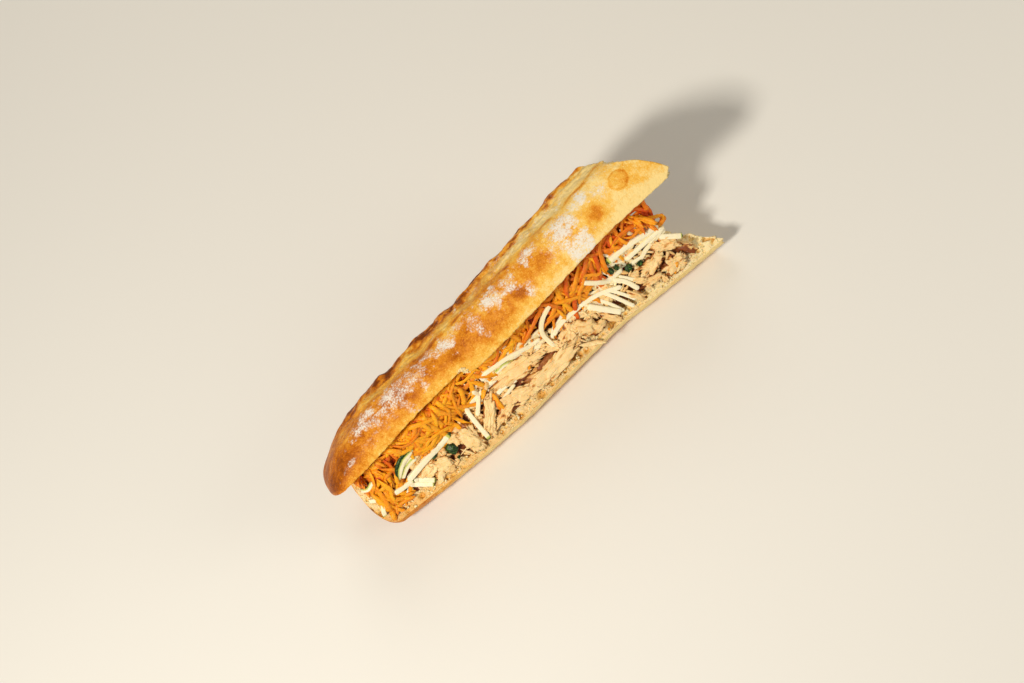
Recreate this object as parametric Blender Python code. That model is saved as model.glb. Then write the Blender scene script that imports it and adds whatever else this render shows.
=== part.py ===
"""A filled half baguette: a floured lid propped open over torn chicken, courgette sticks and grated carrot.

The sandwich lies on its flat base. X runs along the loaf from the round heel to the slanting end cut, the
opening faces -Y and Z points up. The origin is on the table, under the middle of the whole. Sizes are in
millimetres until a mesh is made, which turns them into metres.
"""

import math
import random

import bmesh
import bpy
from mathutils import Vector

MM = 0.001
GAP = 0.4  # air between neighbouring pieces

# Loaf: where it starts, where its front tip ends, and how far the end cut slants back across it
HEEL_X = -136.0
TIP_X = 134.7
BIAS = 0.85
CROSS_POWER = 2.35  # roundness of the loaf's cross-section: 2 is an ellipse, more is squarer
HEEL_POWER = 2.4
HEEL_PLAN = 13.0
HEEL_DEPTH = 38.0

# Base: its front and back edges along X, the height of its cut face and how that rises to the back
BASE_FRONT = (
    (-119, -33.5), (-95, -34.8), (-60, -36.1), (-23, -35.8), (5, -33.3),
    (30, -31.9), (55, -30.4), (85, -32.0), (134, -32.8),
)
BASE_BACK = ((-120, 20.0), (110, 27.0))
CUT_Z = 19.0
CUT_RISE = 0.107
BASE_EXTRA = 2.2  # how much deeper the round underside would reach if it were not flat

# Lid: the line of its back edge, its tilt, its half width, its thickness and how its lip droops
LID_HEEL_X = -146.0
LID_TIP_X = 136.6
LID_BIAS = 0.64
LID_LEAN = 0.53  # how far the lid's end cut leans back for each step out of its cut face
LID_TILT = math.radians(47.0)
HINGE_Y = ((-110, 21.0), (133, 34.0))
HINGE_Z = ((-110, 25.0), (133, 38.5))
LID_HALF = ((-110, 26.0), (-30, 27.5), (60, 30.5), (120, 31.0))
LID_THICK = ((-110, 24.6), (-20, 26.7), (50, 30.0), (100, 32.3))
LID_DROOP = (
    (-110, 0.0), (-78, -2.6), (-47, -3.4), (-38, -4.0), (-32, 0.9), (-8, 1.8), (20, 1.2), (70, 0.5), (130, 0.0),
)
SCORE_START = -124.0
SCORE_ANGLE = 82.0
SCORE_DEPTH = 1.7
EAR_ANGLE = 105.0
EAR_HEIGHT = 1.6
TORN_ANGLE = 56.0  # where crust is torn away from the lid's end cut
TORN_DEPTH = 6.5

# Filling: the thickness of each layer along X, and the front edges of the vegetables
CHICKEN_FRONT = 3.8  # bare crumb between the loaf's lip and the chicken
CHICKEN_THICK = ((-128, 5.0), (-100, 8.5), (-60, 15.0), (100, 16.0))
CHICKEN_MOUND = 25.0
CHICKEN_SKIN = 3.4  # how far the torn pieces stand out of the chicken's core
SLAB_THICK = 2.6
SLAB_SETBACK = ((-125, -4.0), (-95, -2.5), (-55, -0.5), (120, -0.2))
VEG_FRONT = ((-128, -25.0), (-100, -22.0), (-70, -15.5), (-35, -10.5), (100, -10.0))
VEG_RISE = 15.0
CARROT_RISE = 21.0
FILL_BACK = ((-126, 11.0), (-60, 17.0), (100, 23.0))

# Pieces of filling
SHRED_WIDE = 2.6
SHRED_THICK = 1.5
STICK_WIDE = 4.2
STICK_THICK = 2.6
STICK_LIFT = GAP + 0.5 * STICK_THICK + 0.3
STICK_STEP = 6.5
SHRED_STEP = 7.5
CARROT_SHREDS = 38
CHICKEN_SCRAPS = 22

# The angle from which the opening is laid out: heights below are measured square to this line of sight
SIGHT = math.radians(65.0)

# Courgette sticks: start x and seen height, end x and seen height, sideways bow
STICKS = (
    (-104.5, -6.3, -66.3, -1.9, 1.5),
    (-115.9, -6.5, -104.0, -8.1, 0.0),
    (-105.4, -7.0, -92.3, -17.1, 0.6),
    (-107.0, -9.0, -98.0, -18.5, -0.6),
    (-115.5, -13.6, -107.0, -10.5, 0.0),
    (-130.0, -9.5, -124.8, -2.5, 0.0),
    (-131.0, -2.0, -125.0, -4.5, 0.0),
    (-51.6, 7.5, -51.0, -19.6, -1.2),
    (-49.0, 5.0, -17.0, 5.2, 2.0),
    (-47.5, -4.5, -38.0, 9.0, 0.5),
    (-27.5, 13.5, 11.0, 6.2, 1.0),
    (-23.0, 9.0, -8.0, 7.6, 0.0),
    (26.3, 16.5, 13.8, -4.8, -5.5),
    (17.3, 1.8, 43.0, 3.6, 3.4),
    (52.0, 16.5, 75.8, 6.4, -3.0),
    (71.2, 15.6, 109.7, 11.4, 0.6),
    (81.0, 8.2, 111.5, 8.8, -0.4),
    (90.0, 2.2, 107.0, 7.2, -0.8),
    (104.5, 6.4, 118.0, -2.8, 0.0),
    (68.5, 9.4, 77.0, 4.4, 0.0),
    (77.5, 3.0, 88.5, 3.6, 0.0),
    (38.0, 6.0, 59.0, -14.0, 1.4),
    (48.0, 6.0, 70.0, -4.2, 2.2),
    (65.0, 6.0, 76.8, -10.4, 2.2),
    (57.0, 5.0, 67.5, -17.5, 0.8),
    (-30.5, 3.0, -20.0, -2.6, 0.0),
)

# Large torn pieces of chicken: middle x and seen height, length, width, turn in degrees
CHUNKS = (
    (-2.0, -10.5, 55.0, 10.0, 2.0),
    (-15.0, -1.4, 28.0, 9.5, -8.0),
    (29.5, -3.5, 21.0, 14.0, 12.0),
    (-60.0, -10.2, 11.5, 17.0, 0.0),
    (-94.5, -9.0, 16.0, 11.0, 20.0),
    (-79.0, -13.5, 17.0, 9.0, -12.0),
    (93.0, -4.6, 17.0, 10.0, 12.0),
    (102.5, -13.0, 17.5, 12.5, 8.0),
    (107.0, 0.5, 16.0, 8.0, -24.0),
    (85.8, -11.8, 13.0, 7.0, -18.0),
    (-35.0, -6.5, 20.0, 7.0, 66.0),
    (-39.0, -12.0, 13.0, 7.0, 40.0),
    (39.0, -13.0, 17.0, 8.0, -10.0),
    (14.0, -2.0, 15.0, 9.0, -30.0),
    (55.0, -6.0, 18.0, 6.0, -48.0),
    (-22.0, -14.5, 22.0, 7.0, 10.0),
)


def clamp(value, low=0.0, high=1.0):
    return max(low, min(high, value))


def through(knots, x):
    """The value at x of a smooth curve through (x, value) knots, level beyond its ends."""
    if x <= knots[0][0]:
        return knots[0][1]
    if x >= knots[-1][0]:
        return knots[-1][1]
    i = max(k for k in range(len(knots) - 1) if knots[k][0] <= x)
    (x0, y0), (x1, y1) = knots[i], knots[i + 1]
    before = knots[max(0, i - 1)]
    after = knots[min(len(knots) - 1, i + 2)]
    slope0 = (y1 - before[1]) / (x1 - before[0])
    slope1 = (after[1] - y0) / (after[0] - x0)
    t = (x - x0) / (x1 - x0)
    run = x1 - x0
    return (
        (2 * t**3 - 3 * t**2 + 1) * y0
        + (t**3 - 2 * t**2 + t) * run * slope0
        + (3 * t**2 - 2 * t**3) * y1
        + (t**3 - t**2) * run * slope1
    )


def power(value, exponent):
    """value to an exponent, keeping its sign."""
    return math.copysign(abs(value) ** exponent, value)


def hump(t):
    """A smooth rise and fall: 1 at t = 0 and nothing from t = 1 on either side."""
    return (1 - min(1.0, abs(t)) ** 2) ** 2


def heel_scale(distance, length):
    """How full the loaf is at a distance from its heel, rounding off over a length."""
    t = clamp(distance / length)
    return (1 - (1 - t) ** HEEL_POWER) ** (1 / HEEL_POWER)


def lump(x, angle):
    """The uneven swelling of a hand-shaped crust, in millimetres."""
    return (
        0.5 * math.sin(x / 17.0 + 1.3) * math.sin(angle * 2.0 + 0.4)
        + 0.4 * math.sin(x / 9.3 + angle * 3.1)
        + 0.3 * math.sin(x / 5.1 - angle * 4.7 + 2.0)
    )


def ragged(x):
    """How torn the edge of a cut or of the ear is along X, from -1 to 1."""
    return 0.5 * math.sin(x / 3.1) + 0.3 * math.sin(x / 1.7 + 1.0) + 0.2 * math.sin(x / 7.3 + 2.2)


# The loaf's faces and edges as functions of place


def cut_z(y):
    """Height of the base's cut face."""
    return CUT_Z + CUT_RISE * (y + 33.0)


def base_end(y):
    """Where the slanting end cut passes, for the base."""
    return TIP_X - BIAS * (y + 32.8)


def lid_frame(x):
    """The lid's lip at x, its half width, and the directions along its cut face and out of it."""
    half = through(LID_HALF, x)
    along = Vector((0, math.cos(LID_TILT), -math.sin(LID_TILT)))
    out = Vector((0, math.sin(LID_TILT), math.cos(LID_TILT)))
    hinge = Vector((x, line(HINGE_Y, x), line(HINGE_Z, x)))
    return hinge - 2 * half * along, half, along, out


def line(ends, x):
    """The value at x on the straight line through two (x, value) ends."""
    (x0, y0), (x1, y1) = ends
    return y0 + (y1 - y0) * (x - x0) / (x1 - x0)


def droop(x, across):
    """How far the lid's cut face sags towards the filling; across is 0 at the lip and 1 at the back."""
    return through(LID_DROOP, x) * (1 - across) ** 2


def ceiling_z(x, y):
    """Height of the lid's cut face over a place, or far up where the lid doesn't cover it."""
    lip, half, _, _ = lid_frame(x)
    if y < lip.y - 2.0:
        return 200.0
    across = clamp((y - lip.y) / (2 * half * math.cos(LID_TILT)))
    flat = line(HINGE_Z, x) + (line(HINGE_Y, x) - y) * math.tan(LID_TILT)
    return flat - max(0.0, droop(x, across)) / math.cos(LID_TILT)


# The filling's layers as heights over a place


def chicken_front(x):
    return through(BASE_FRONT, x) + CHICKEN_FRONT


def chicken_top(x, y):
    """The outside of the chicken: a mound behind the lip that thins towards the back."""
    u = clamp((y - chicken_front(x)) / CHICKEN_MOUND)
    mound = 1 - (1 - u) ** 1.8
    back = clamp((y + 4.0) / 28.0)
    thick = through(CHICKEN_THICK, x) * mound * (1 - 0.45 * back)
    floor = cut_z(y) + GAP
    return floor + min(thick, 0.5 * (ceiling_z(x, y) - floor))


def slab_top(x, y):
    """The top of the courgette under the carrot."""
    low = chicken_top(x, y) + GAP
    return low + min(SLAB_THICK, 0.3 * (ceiling_z(x, y) - low))


def slab_front(x):
    """The wandering front edge of the courgette under the carrot, which is set back at the heel."""
    return through(VEG_FRONT, x) + through(SLAB_SETBACK, x) + 2.2 * math.sin(x / 6.3) * math.sin(x / 15.0 + 0.5)


def carrot_top(x, y):
    """The outside of the carrot, rising from its front edge to the lid."""
    u = clamp((y - through(VEG_FRONT, x)) / VEG_RISE)
    rise = CARROT_RISE * (1 - (1 - u) ** 1.4) * clamp((x - HEEL_X - 5) / 17) ** 0.6
    return min(slab_top(x, y) + GAP + rise, ceiling_z(x, y) - GAP - 0.6)


def outside(x, y):
    """The top of whatever filling or crumb shows at a place."""
    veg = through(VEG_FRONT, x)
    if y > veg:
        return carrot_top(x, y)
    return max(chicken_top(x, y), cut_z(y) + GAP)


def bed(x, y):
    """The top of the chicken or crumb, which the loose vegetables lie on."""
    return max(chicken_top(x, y), cut_z(y) + GAP)


def seen_y(surface, x, height):
    """The y at which a surface shows at a height measured square to the line of sight."""
    low, high = -42.0, 24.0
    for _ in range(30):
        y = 0.5 * (low + high)
        if y * math.sin(SIGHT) + surface(x, y) * math.cos(SIGHT) < height:
            low = y
        else:
            high = y
    return low


def slope_up(surface, x, y):
    """The direction out of a height surface."""
    step = 1.0
    dx = (surface(x + step, y) - surface(x - step, y)) / (2 * step)
    dy = (surface(x, y + step) - surface(x, y - step)) / (2 * step)
    return Vector((-clamp(dx, -1.5, 1.5), -clamp(dy, -1.5, 1.5), 1)).normalized()


# Meshes


def mesh_object(name, bm, material):
    """A named object in metres from a bmesh in millimetres."""
    bmesh.ops.scale(bm, vec=(MM, MM, MM), verts=bm.verts)
    bmesh.ops.recalc_face_normals(bm, faces=bm.faces)
    bmesh.ops.triangulate(bm, faces=bm.faces)
    mesh = bpy.data.meshes.new(name)
    bm.to_mesh(mesh)
    bm.free()
    mesh.shade_smooth()
    mesh.set_sharp_from_angle(angle=math.radians(40))
    mesh.materials.append(material)
    made = bpy.data.objects.new(name, mesh)
    bpy.context.scene.collection.objects.link(made)
    return made


def loft(rings):
    """A closed bmesh through rings of as many points each, with a flat cap at both ends."""
    bm = bmesh.new()
    made = [[bm.verts.new(p) for p in ring] for ring in rings]
    count = len(made[0])
    for first, second in zip(made, made[1:]):
        for i in range(count):
            j = (i + 1) % count
            bm.faces.new((first[i], first[j], second[j], second[i]))
    bm.faces.new(made[0][::-1])
    bm.faces.new(made[-1])
    return bm


def stations(count, crowding):
    """Shares from 0 to 1 along a loaf, crowded at the heel."""
    return [(i / count) ** crowding for i in range(1, count + 1)]


def base_ring(share):
    """One slanting ring of the base: its cut face from back to front, then its crust back underneath."""
    ring = []
    cut_steps, crust_steps = 6, 16
    places = [(k, True) for k in range(cut_steps)] + [(k, False) for k in range(crust_steps)]
    for k, on_cut in places:
        y = 0.0
        for _ in range(3):  # the slant makes x depend on y, so a few turns settle both
            x = HEEL_X + share * (base_end(y) - HEEL_X)
            front = through(BASE_FRONT, x)
            back = through(BASE_BACK, x)
            half = 0.5 * (back - front) * heel_scale(x - HEEL_X, HEEL_PLAN)
            middle = 0.5 * (back + front)
            angle = math.pi * k / crust_steps
            if on_cut:
                y = middle + half * (1 - 2 * k / cut_steps)
            else:
                y = middle - (half + lump(x, angle) * math.sin(angle)) * power(math.cos(angle), 2 / CROSS_POWER)
        if on_cut:
            z = cut_z(y)
        else:
            depth = (cut_z(y) + BASE_EXTRA) * heel_scale(x - HEEL_X, HEEL_DEPTH)
            z = cut_z(y) - depth * math.sin(angle) ** (2 / CROSS_POWER)
            z = max(0.0, z)
        ring.append(Vector((x, y, z)))
    return ring


def base_bread(material):
    rings = [base_ring(s) for s in stations(24, 1.6)]
    return mesh_object("bread_base", loft(rings), material)


def lid_relief(x, degrees):
    """The score along the crown with its torn ear, in millimetres out of the lid."""
    fade = clamp((x - SCORE_START) / 22.0)
    trough = -SCORE_DEPTH * hump((degrees - SCORE_ANGLE) / 19.0)
    ear = EAR_HEIGHT * hump((degrees - EAR_ANGLE) / 13.0) * (1 + 0.6 * ragged(x))
    return fade * (trough + ear)


def lid_angles():
    """Degrees round the lid's crust from its lip, closer together over the score."""
    coarse = list(range(0, 60, 10))
    fine = [60, 66, 72, 79, 86, 92, 97, 102, 107, 112, 119]
    return coarse + fine + [130, 141, 152, 163, 172]


def lid_ring(share):
    """One slanting ring of the lid: its cut face from back to lip, then its crust over the crown."""
    ring = []
    cut_steps = 6
    places = [(1 - k / cut_steps, None) for k in range(cut_steps)]
    places += [(None, degrees) for degrees in lid_angles()]
    for across, degrees in places:
        d, h = 0.0, 0.0
        torn = 0.0 if degrees is None else TORN_DEPTH * hump((degrees - TORN_ANGLE) / 17.0)
        for _ in range(3):
            end = LID_TIP_X - LID_BIAS * d - LID_LEAN * h - torn + 0.8 * ragged(d * 2.3)
            x = LID_HEEL_X + share * (end - LID_HEEL_X)
            lip, half, along, out = lid_frame(x)
            full = half * heel_scale(x - LID_HEEL_X, HEEL_PLAN)
            thick = through(LID_THICK, x) * heel_scale(x - LID_HEEL_X, HEEL_DEPTH + 7)
            if degrees is None:
                d = half + full * (2 * across - 1)
                h = -droop(x, d / (2 * half))
            else:
                angle = math.radians(degrees)
                swell = (lump(x, angle) + lid_relief(x, degrees)) * math.sin(angle)
                d = half - (full + 0.4 * swell) * power(math.cos(angle), 2 / CROSS_POWER)
                h = (thick + swell) * math.sin(angle) ** (2 / CROSS_POWER)
                h -= droop(x, clamp(d / (2 * half))) * (1 - math.sin(angle))
        ring.append(lip + d * along + h * out)
    return ring


def lid_bread(material):
    rings = [lid_ring(s) for s in stations(28, 1.5)]
    return mesh_object("bread_lid", loft(rings), material)


def lid_room(material):
    """A cutter just larger than the lid's lower half, which keeps the filling clear of it."""
    rings = []
    steps = 36
    for i in range(steps + 1):
        x = LID_HEEL_X + (LID_TIP_X - LID_HEEL_X) * i / steps
        lip, half, along, out = lid_frame(x)
        lower, upper = [], []
        for across in (-0.01, 0.1, 0.25, 0.45, 0.7, 1.02):
            d = 2 * half * across
            lower.append(lip + d * along - (droop(x, max(0.0, across)) + 1.8 * GAP) * out)
            upper.append(lip + d * along + 18 * out)
        rings.append(lower + upper[::-1])
    return mesh_object("lid_room", loft(rings), material)


def layer_core(low, high, first_x, front, back, end_gap, steps):
    """The inside of a layer: a closed sheet between two height surfaces, its right end along the bias cut."""
    rings = []
    across = 5
    for i in range(steps + 1):
        share = i / steps
        under, over = [], []
        for k in range(across + 1):
            y = 0.0
            for _ in range(3):
                x = first_x + share * (base_end(y) - end_gap - first_x)
                y = front(x) + (back(x) - front(x)) * k / across
            under.append(Vector((x, y, low(x, y))))
            over.append(Vector((x, y, max(high(x, y), low(x, y) + 0.5))))
        rings.append(under + over[::-1])
    return loft(rings)


def strip(path, ups, wide, thick):
    """A closed four-sided strip along a path, tapered a little at both ends."""
    rings = []
    for i, p in enumerate(path):
        ahead = path[min(i + 1, len(path) - 1)] - path[max(i - 1, 0)]
        side = ahead.normalized().cross(ups[i]).normalized()
        up = side.cross(ahead.normalized())
        w = 0.5 * wide * (0.72 if i in (0, len(path) - 1) else 1.0)
        t = 0.5 * thick
        rings.append([p + side * w + up * t, p - side * w + up * t, p - side * w - up * t, p + side * w - up * t])
    return loft(rings)


def laid_strip(points, rest, surface, wide, thick):
    """A strip that lies on a surface along plan points; rest is how far its middle is above the surface."""
    path, ups = [], []
    for x, y in points:
        up = slope_up(surface, x, y)
        path.append(Vector((x, y, surface(x, y))) + up * rest(x, y))
        ups.append(up)
    return strip(path, ups, wide, thick)


def stick_path(row):
    """Plan points of one courgette stick between two seen places, bowed sideways."""
    x0, seen0, x1, seen1, bow = row
    start = Vector((x0, seen_y(outside, x0, seen0)))
    end = Vector((x1, seen_y(outside, x1, seen1)))
    run = end - start
    side = Vector((-run.y, run.x)).normalized()
    count = max(3, round(run.length / STICK_STEP) + 1)
    points = []
    for i in range(count):
        t = i / (count - 1)
        points.append(start + run * t + side * bow * hump(2 * t - 1))
    return points


def stick(row, grow):
    """One courgette stick lying on whatever is outermost there."""
    size = (STICK_WIDE + 2 * grow, STICK_THICK + 2 * grow)
    return laid_strip(stick_path(row), lambda x, y: STICK_LIFT, outside, *size)


def stem(row, grow):
    """A hidden stem from the higher end of a stick down to the courgette under the carrot, or nothing."""
    points = stick_path(row)
    if points[-1].y > points[0].y:
        points.reverse()
    x, y = points[0].lerp(points[1], 0.4)
    if y < slab_front(x) - 8:
        return None
    top = Vector((x, y, outside(x, y))) + slope_up(outside, x, y) * STICK_LIFT
    foot_y = max(y, slab_front(x) + 4)
    foot = Vector((x + 0.3, foot_y, 0.5 * (slab_top(x, foot_y) + chicken_top(x, foot_y))))
    size = 2.0 + 2 * grow
    return strip([top, foot], [Vector((1, 0, 0))] * 2, size, size)


def shred_points(rng, x, y, heading, length):
    """Plan points of one curling shred."""
    curl = rng.uniform(-0.055, 0.055)
    points = []
    for _ in range(max(3, round(length / SHRED_STEP) + 1)):
        points.append((x, y))
        heading += curl * SHRED_STEP
        x += SHRED_STEP * math.cos(heading)
        y += SHRED_STEP * math.sin(heading)
    return points


def shred_places(rng):
    """Start, heading and length of each carrot shred: most over the front, some at the ends and the back."""
    for i in range(CARROT_SHREDS):
        share = ((i + rng.random()) / CARROT_SHREDS) ** 1.3
        x = HEEL_X + 8 + share * 228
        front = through(VEG_FRONT, x)
        kind = rng.random()
        if kind < 0.92:
            y = front + rng.uniform(0.5, VEG_RISE - 1)
            heading = rng.choice((0.0, math.pi)) + rng.uniform(-0.75, 0.75)
        else:
            y = through(FILL_BACK, x) - rng.uniform(0.0, 3.0)
            heading = rng.uniform(-0.5, 0.5)
        yield x, y, heading, rng.uniform(16, 34)


def carrot_shreds():
    rng = random.Random(11)
    made = []
    for x, y, heading, length in shred_places(rng):
        points = []
        for px, py in shred_points(rng, x, y, heading, length):
            front = through(VEG_FRONT, px)
            spill = 5 + 4 * clamp((-70 - px) / 20)
            inside = HEEL_X + 4 < px < base_end(py) + 7 and front - spill < py < through(FILL_BACK, px) + 1.5
            room = ceiling_z(px, py) - bed(px, py)
            if inside and room > SHRED_THICK + 3:
                points.append((px, py))
            else:
                break
        if len(points) < 3:
            continue

        level = rng.uniform(-0.7, 0.7)

        def rest(px, py, level=level):
            over_core = py > through(VEG_FRONT, px)
            return level if over_core else level + GAP + 0.5 * SHRED_THICK + 0.9

        made.append(laid_strip(points, rest, outside, SHRED_WIDE, SHRED_THICK))
    return made


def scrap(rng, x, y, long, wide, turn):
    """One torn piece of chicken: a lumpy flattened ball that stays under the chicken's outside."""
    bm = bmesh.new()
    bmesh.ops.create_icosphere(bm, subdivisions=2 if long > 20 else 1, radius=0.5)
    thick = rng.uniform(5.5, 7.5)
    sunk = rng.uniform(0.0, 0.7)
    floor = GAP + rng.uniform(0.1, 0.5)
    cos, sin = math.cos(turn), math.sin(turn)
    for v in bm.verts:
        rough = rng.uniform(0.86, 1.12)
        a, b, c = v.co.x * long * rough, v.co.y * wide * rough, v.co.z * thick
        px, py = x + a * cos - b * sin, y + a * sin + b * cos
        top = chicken_top(px, py) - sunk
        pz = chicken_top(x, y) - 0.42 * thick + c + 0.45 * (top - chicken_top(x, y))
        low = cut_z(py) + floor + 0.02 * c
        v.co = Vector((px, py, clamp(pz, low, max(top, low + 0.2))))
    return bm


def chicken_scraps():
    rng = random.Random(5)
    made = []
    for x, seen, long, wide, turn in CHUNKS:
        made.append(scrap(rng, x, seen_y(chicken_top, x, seen), long, wide, math.radians(turn)))
    for i in range(CHICKEN_SCRAPS):
        x = -112 + 216 * (i + rng.random()) / CHICKEN_SCRAPS
        front = chicken_front(x) + 3.5
        y = rng.uniform(front, front + 17)
        if x < base_end(y) - 9:
            made.append(scrap(rng, x, y, rng.uniform(9, 16), rng.uniform(5, 8), rng.uniform(0, math.pi)))
    return made


# Joining the pieces of a heap


def boolean(target, operation, operand, solver="MANIFOLD"):
    """Applies one Boolean between a mesh and an object or a collection."""
    modifier = target.modifiers.new("Boolean", "BOOLEAN")
    modifier.operation = operation
    modifier.solver = solver
    if isinstance(operand, bpy.types.Collection):
        modifier.operand_type = "COLLECTION"
        modifier.collection = operand
    else:
        modifier.object = operand
    graph = bpy.context.evaluated_depsgraph_get()
    mesh = bpy.data.meshes.new_from_object(target.evaluated_get(graph))
    target.modifiers.clear()
    old = target.data
    target.data = mesh
    bpy.data.meshes.remove(old)


def keep_largest(target):
    """Drops every scrap that isn't joined to the largest body of a mesh."""
    bm = bmesh.new()
    bm.from_mesh(target.data)
    left = set(bm.verts)
    bodies = []
    while left:
        body, edge = set(), [left.pop()]
        while edge:
            v = edge.pop()
            body.add(v)
            near = [e.other_vert(v) for e in v.link_edges if e.other_vert(v) in left]
            left.difference_update(near)
            edge.extend(near)
        bodies.append(body)
    largest = max(bodies, key=len)
    bmesh.ops.delete(bm, geom=[v for v in bm.verts if v not in largest], context="VERTS")
    bmesh.ops.triangulate(bm, faces=bm.faces)
    bm.to_mesh(target.data)
    bm.free()


def fuse(name, core, pieces, material):
    """One solid from a core and the pieces that lie on it."""
    target = mesh_object(name, core, material)
    group = bpy.data.collections.new(name + "_pieces")
    bpy.context.scene.collection.children.link(group)
    for i, bm in enumerate(pieces):
        made = mesh_object(f"{name}_piece_{i}", bm, material)
        bpy.context.scene.collection.objects.unlink(made)
        group.objects.link(made)
    boolean(target, "UNION", group)
    for made in list(group.objects):
        bpy.data.objects.remove(made)
    bpy.data.collections.remove(group)
    return target


def chicken(material):
    core = layer_core(
        lambda x, y: cut_z(y) + GAP,
        lambda x, y: chicken_top(x, y) - CHICKEN_SKIN,
        HEEL_X + 9,
        lambda x: chicken_front(x) + 4,
        lambda x: through(FILL_BACK, x),
        6,
        22,
    )
    made = fuse("chicken", core, chicken_scraps(), material)
    keep_largest(made)
    return made


def courgette(material, grow=0.0):
    core = layer_core(
        lambda x, y: chicken_top(x, y) + GAP - grow,
        lambda x, y: slab_top(x, y) + grow,
        HEEL_X + 6 - grow,
        lambda x: slab_front(x) - grow,
        lambda x: through(FILL_BACK, x) + grow,
        3 - grow,
        26,
    )
    name = "courgette" if grow == 0 else "courgette_cutter"
    pieces = [stick(row, grow) for row in STICKS]
    pieces += [made for made in (stem(row, grow) for row in STICKS) if made]
    made = fuse(name, core, pieces, material)
    if grow == 0:
        keep_largest(made)
    return made


def carrot(material):
    core = layer_core(
        lambda x, y: slab_top(x, y) + GAP,
        lambda x, y: carrot_top(x, y) - 1.0,
        HEEL_X + 8,
        lambda x: through(VEG_FRONT, x),
        lambda x: through(FILL_BACK, x),
        1,
        18,
    )
    made = fuse("carrot", core, carrot_shreds(), material)
    for cutter in (courgette(material, grow=GAP), lid_room(material)):
        boolean(made, "DIFFERENCE", cutter)
        bpy.data.objects.remove(cutter)
    keep_largest(made)
    return made


def material(name, colour, roughness):
    made = bpy.data.materials.new(name)
    made.use_nodes = True
    shader = made.node_tree.nodes["Principled BSDF"]
    shader.inputs["Base Color"].default_value = (*colour, 1)
    shader.inputs["Roughness"].default_value = roughness
    shader.inputs["Metallic"].default_value = 0.0
    return made


def centre(pieces):
    """Moves every piece so that the origin is under the middle of the whole."""
    points = [v.co for made in pieces for v in made.data.vertices]
    low = Vector((min(p.x for p in points), min(p.y for p in points), min(p.z for p in points)))
    high = Vector((max(p.x for p in points), max(p.y for p in points), 0))
    middle = Vector((0.5 * (low.x + high.x), 0.5 * (low.y + high.y), low.z))
    for made in pieces:
        for v in made.data.vertices:
            v.co -= middle


def main():
    for old in list(bpy.data.objects):
        bpy.data.objects.remove(old)
    pieces = [
        base_bread(material("pale_crust", (0.80, 0.60, 0.33), 0.85)),
        lid_bread(material("golden_crust", (0.78, 0.49, 0.19), 0.75)),
        chicken(material("chicken", (0.74, 0.54, 0.33), 0.6)),
        courgette(material("courgette", (0.88, 0.84, 0.56), 0.4)),
        carrot(material("carrot", (0.92, 0.35, 0.05), 0.45)),
    ]
    centre(pieces)


main()
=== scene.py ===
# %% [markdown]
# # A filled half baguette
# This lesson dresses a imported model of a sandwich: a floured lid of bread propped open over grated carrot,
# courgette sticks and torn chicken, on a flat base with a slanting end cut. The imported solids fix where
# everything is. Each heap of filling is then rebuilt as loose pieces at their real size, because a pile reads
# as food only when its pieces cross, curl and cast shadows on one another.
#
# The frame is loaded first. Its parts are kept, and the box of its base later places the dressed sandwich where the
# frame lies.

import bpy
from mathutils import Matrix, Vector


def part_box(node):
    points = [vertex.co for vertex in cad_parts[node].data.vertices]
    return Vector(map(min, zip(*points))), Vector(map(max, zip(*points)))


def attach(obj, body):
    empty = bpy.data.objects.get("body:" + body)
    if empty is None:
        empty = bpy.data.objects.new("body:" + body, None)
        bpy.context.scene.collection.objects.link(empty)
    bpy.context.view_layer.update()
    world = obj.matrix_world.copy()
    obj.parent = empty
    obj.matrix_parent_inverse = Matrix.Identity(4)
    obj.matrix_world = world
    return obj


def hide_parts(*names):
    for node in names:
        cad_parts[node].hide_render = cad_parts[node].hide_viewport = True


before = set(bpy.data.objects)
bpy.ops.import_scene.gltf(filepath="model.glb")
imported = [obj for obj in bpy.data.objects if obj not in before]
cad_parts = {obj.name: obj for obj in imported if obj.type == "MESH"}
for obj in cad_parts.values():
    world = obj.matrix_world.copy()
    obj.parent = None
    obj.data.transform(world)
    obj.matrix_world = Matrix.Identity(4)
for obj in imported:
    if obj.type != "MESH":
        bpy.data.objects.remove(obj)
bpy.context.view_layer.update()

import random
from math import copysign, cos, hypot, pi, radians, sin, tan

import bmesh
import bpy
from mathutils import Matrix, Vector, noise

print("nodes:", sorted(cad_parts))

# %% [markdown]
# ## Working in millimetres
# Food is easiest to think about in millimetres, and Blender works in metres. Every shape below is worked out in
# millimetres round the loaf's own middle, then moved and scaled once, when its mesh is made. The two shifts come
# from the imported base, so the pieces land where the solids are.

# %% Millimetres and where the loaf's own zero lies
MM = 0.001
HEEL_X, TIP_X = -136.0, 134.7
FRONT_REACH = 36.2  # from the loaf's middle line to the base's front
base_low, base_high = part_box("bread_base")
shift = Vector((base_high[0] / MM - TIP_X, base_low[1] / MM + FRONT_REACH, 0))
print("the loaf's zero lies at", [round(c, 2) for c in shift], "mm")


def placed(point):
    """A point of the loaf, in millimetres, as a place in the frame."""
    return (point + shift) * MM


# %% [markdown]
# ## The camera
# The photograph looks steeply down from the open side, and the sandwich runs up and to the right across the
# picture because the camera is rolled. A long lens from far away keeps the two ends the same scale. The roll is
# made by turning the camera's right and up directions round the line of sight.

# %% Set the camera
SIGHT, ROLL = radians(65), radians(41)
FRAME_WIDTH = 614.4  # millimetres across the picture at the sandwich
AIM, LENS, SENSOR = Vector((-3.4, -8.5, 54.7)), 100, 36
NEAR, FAR = 0.05, 20


def stand(name, data):
    """An object in the scene for a mesh, a light or a camera."""
    made = bpy.data.objects.new(name, data)
    bpy.context.scene.collection.objects.link(made)
    return made


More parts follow.
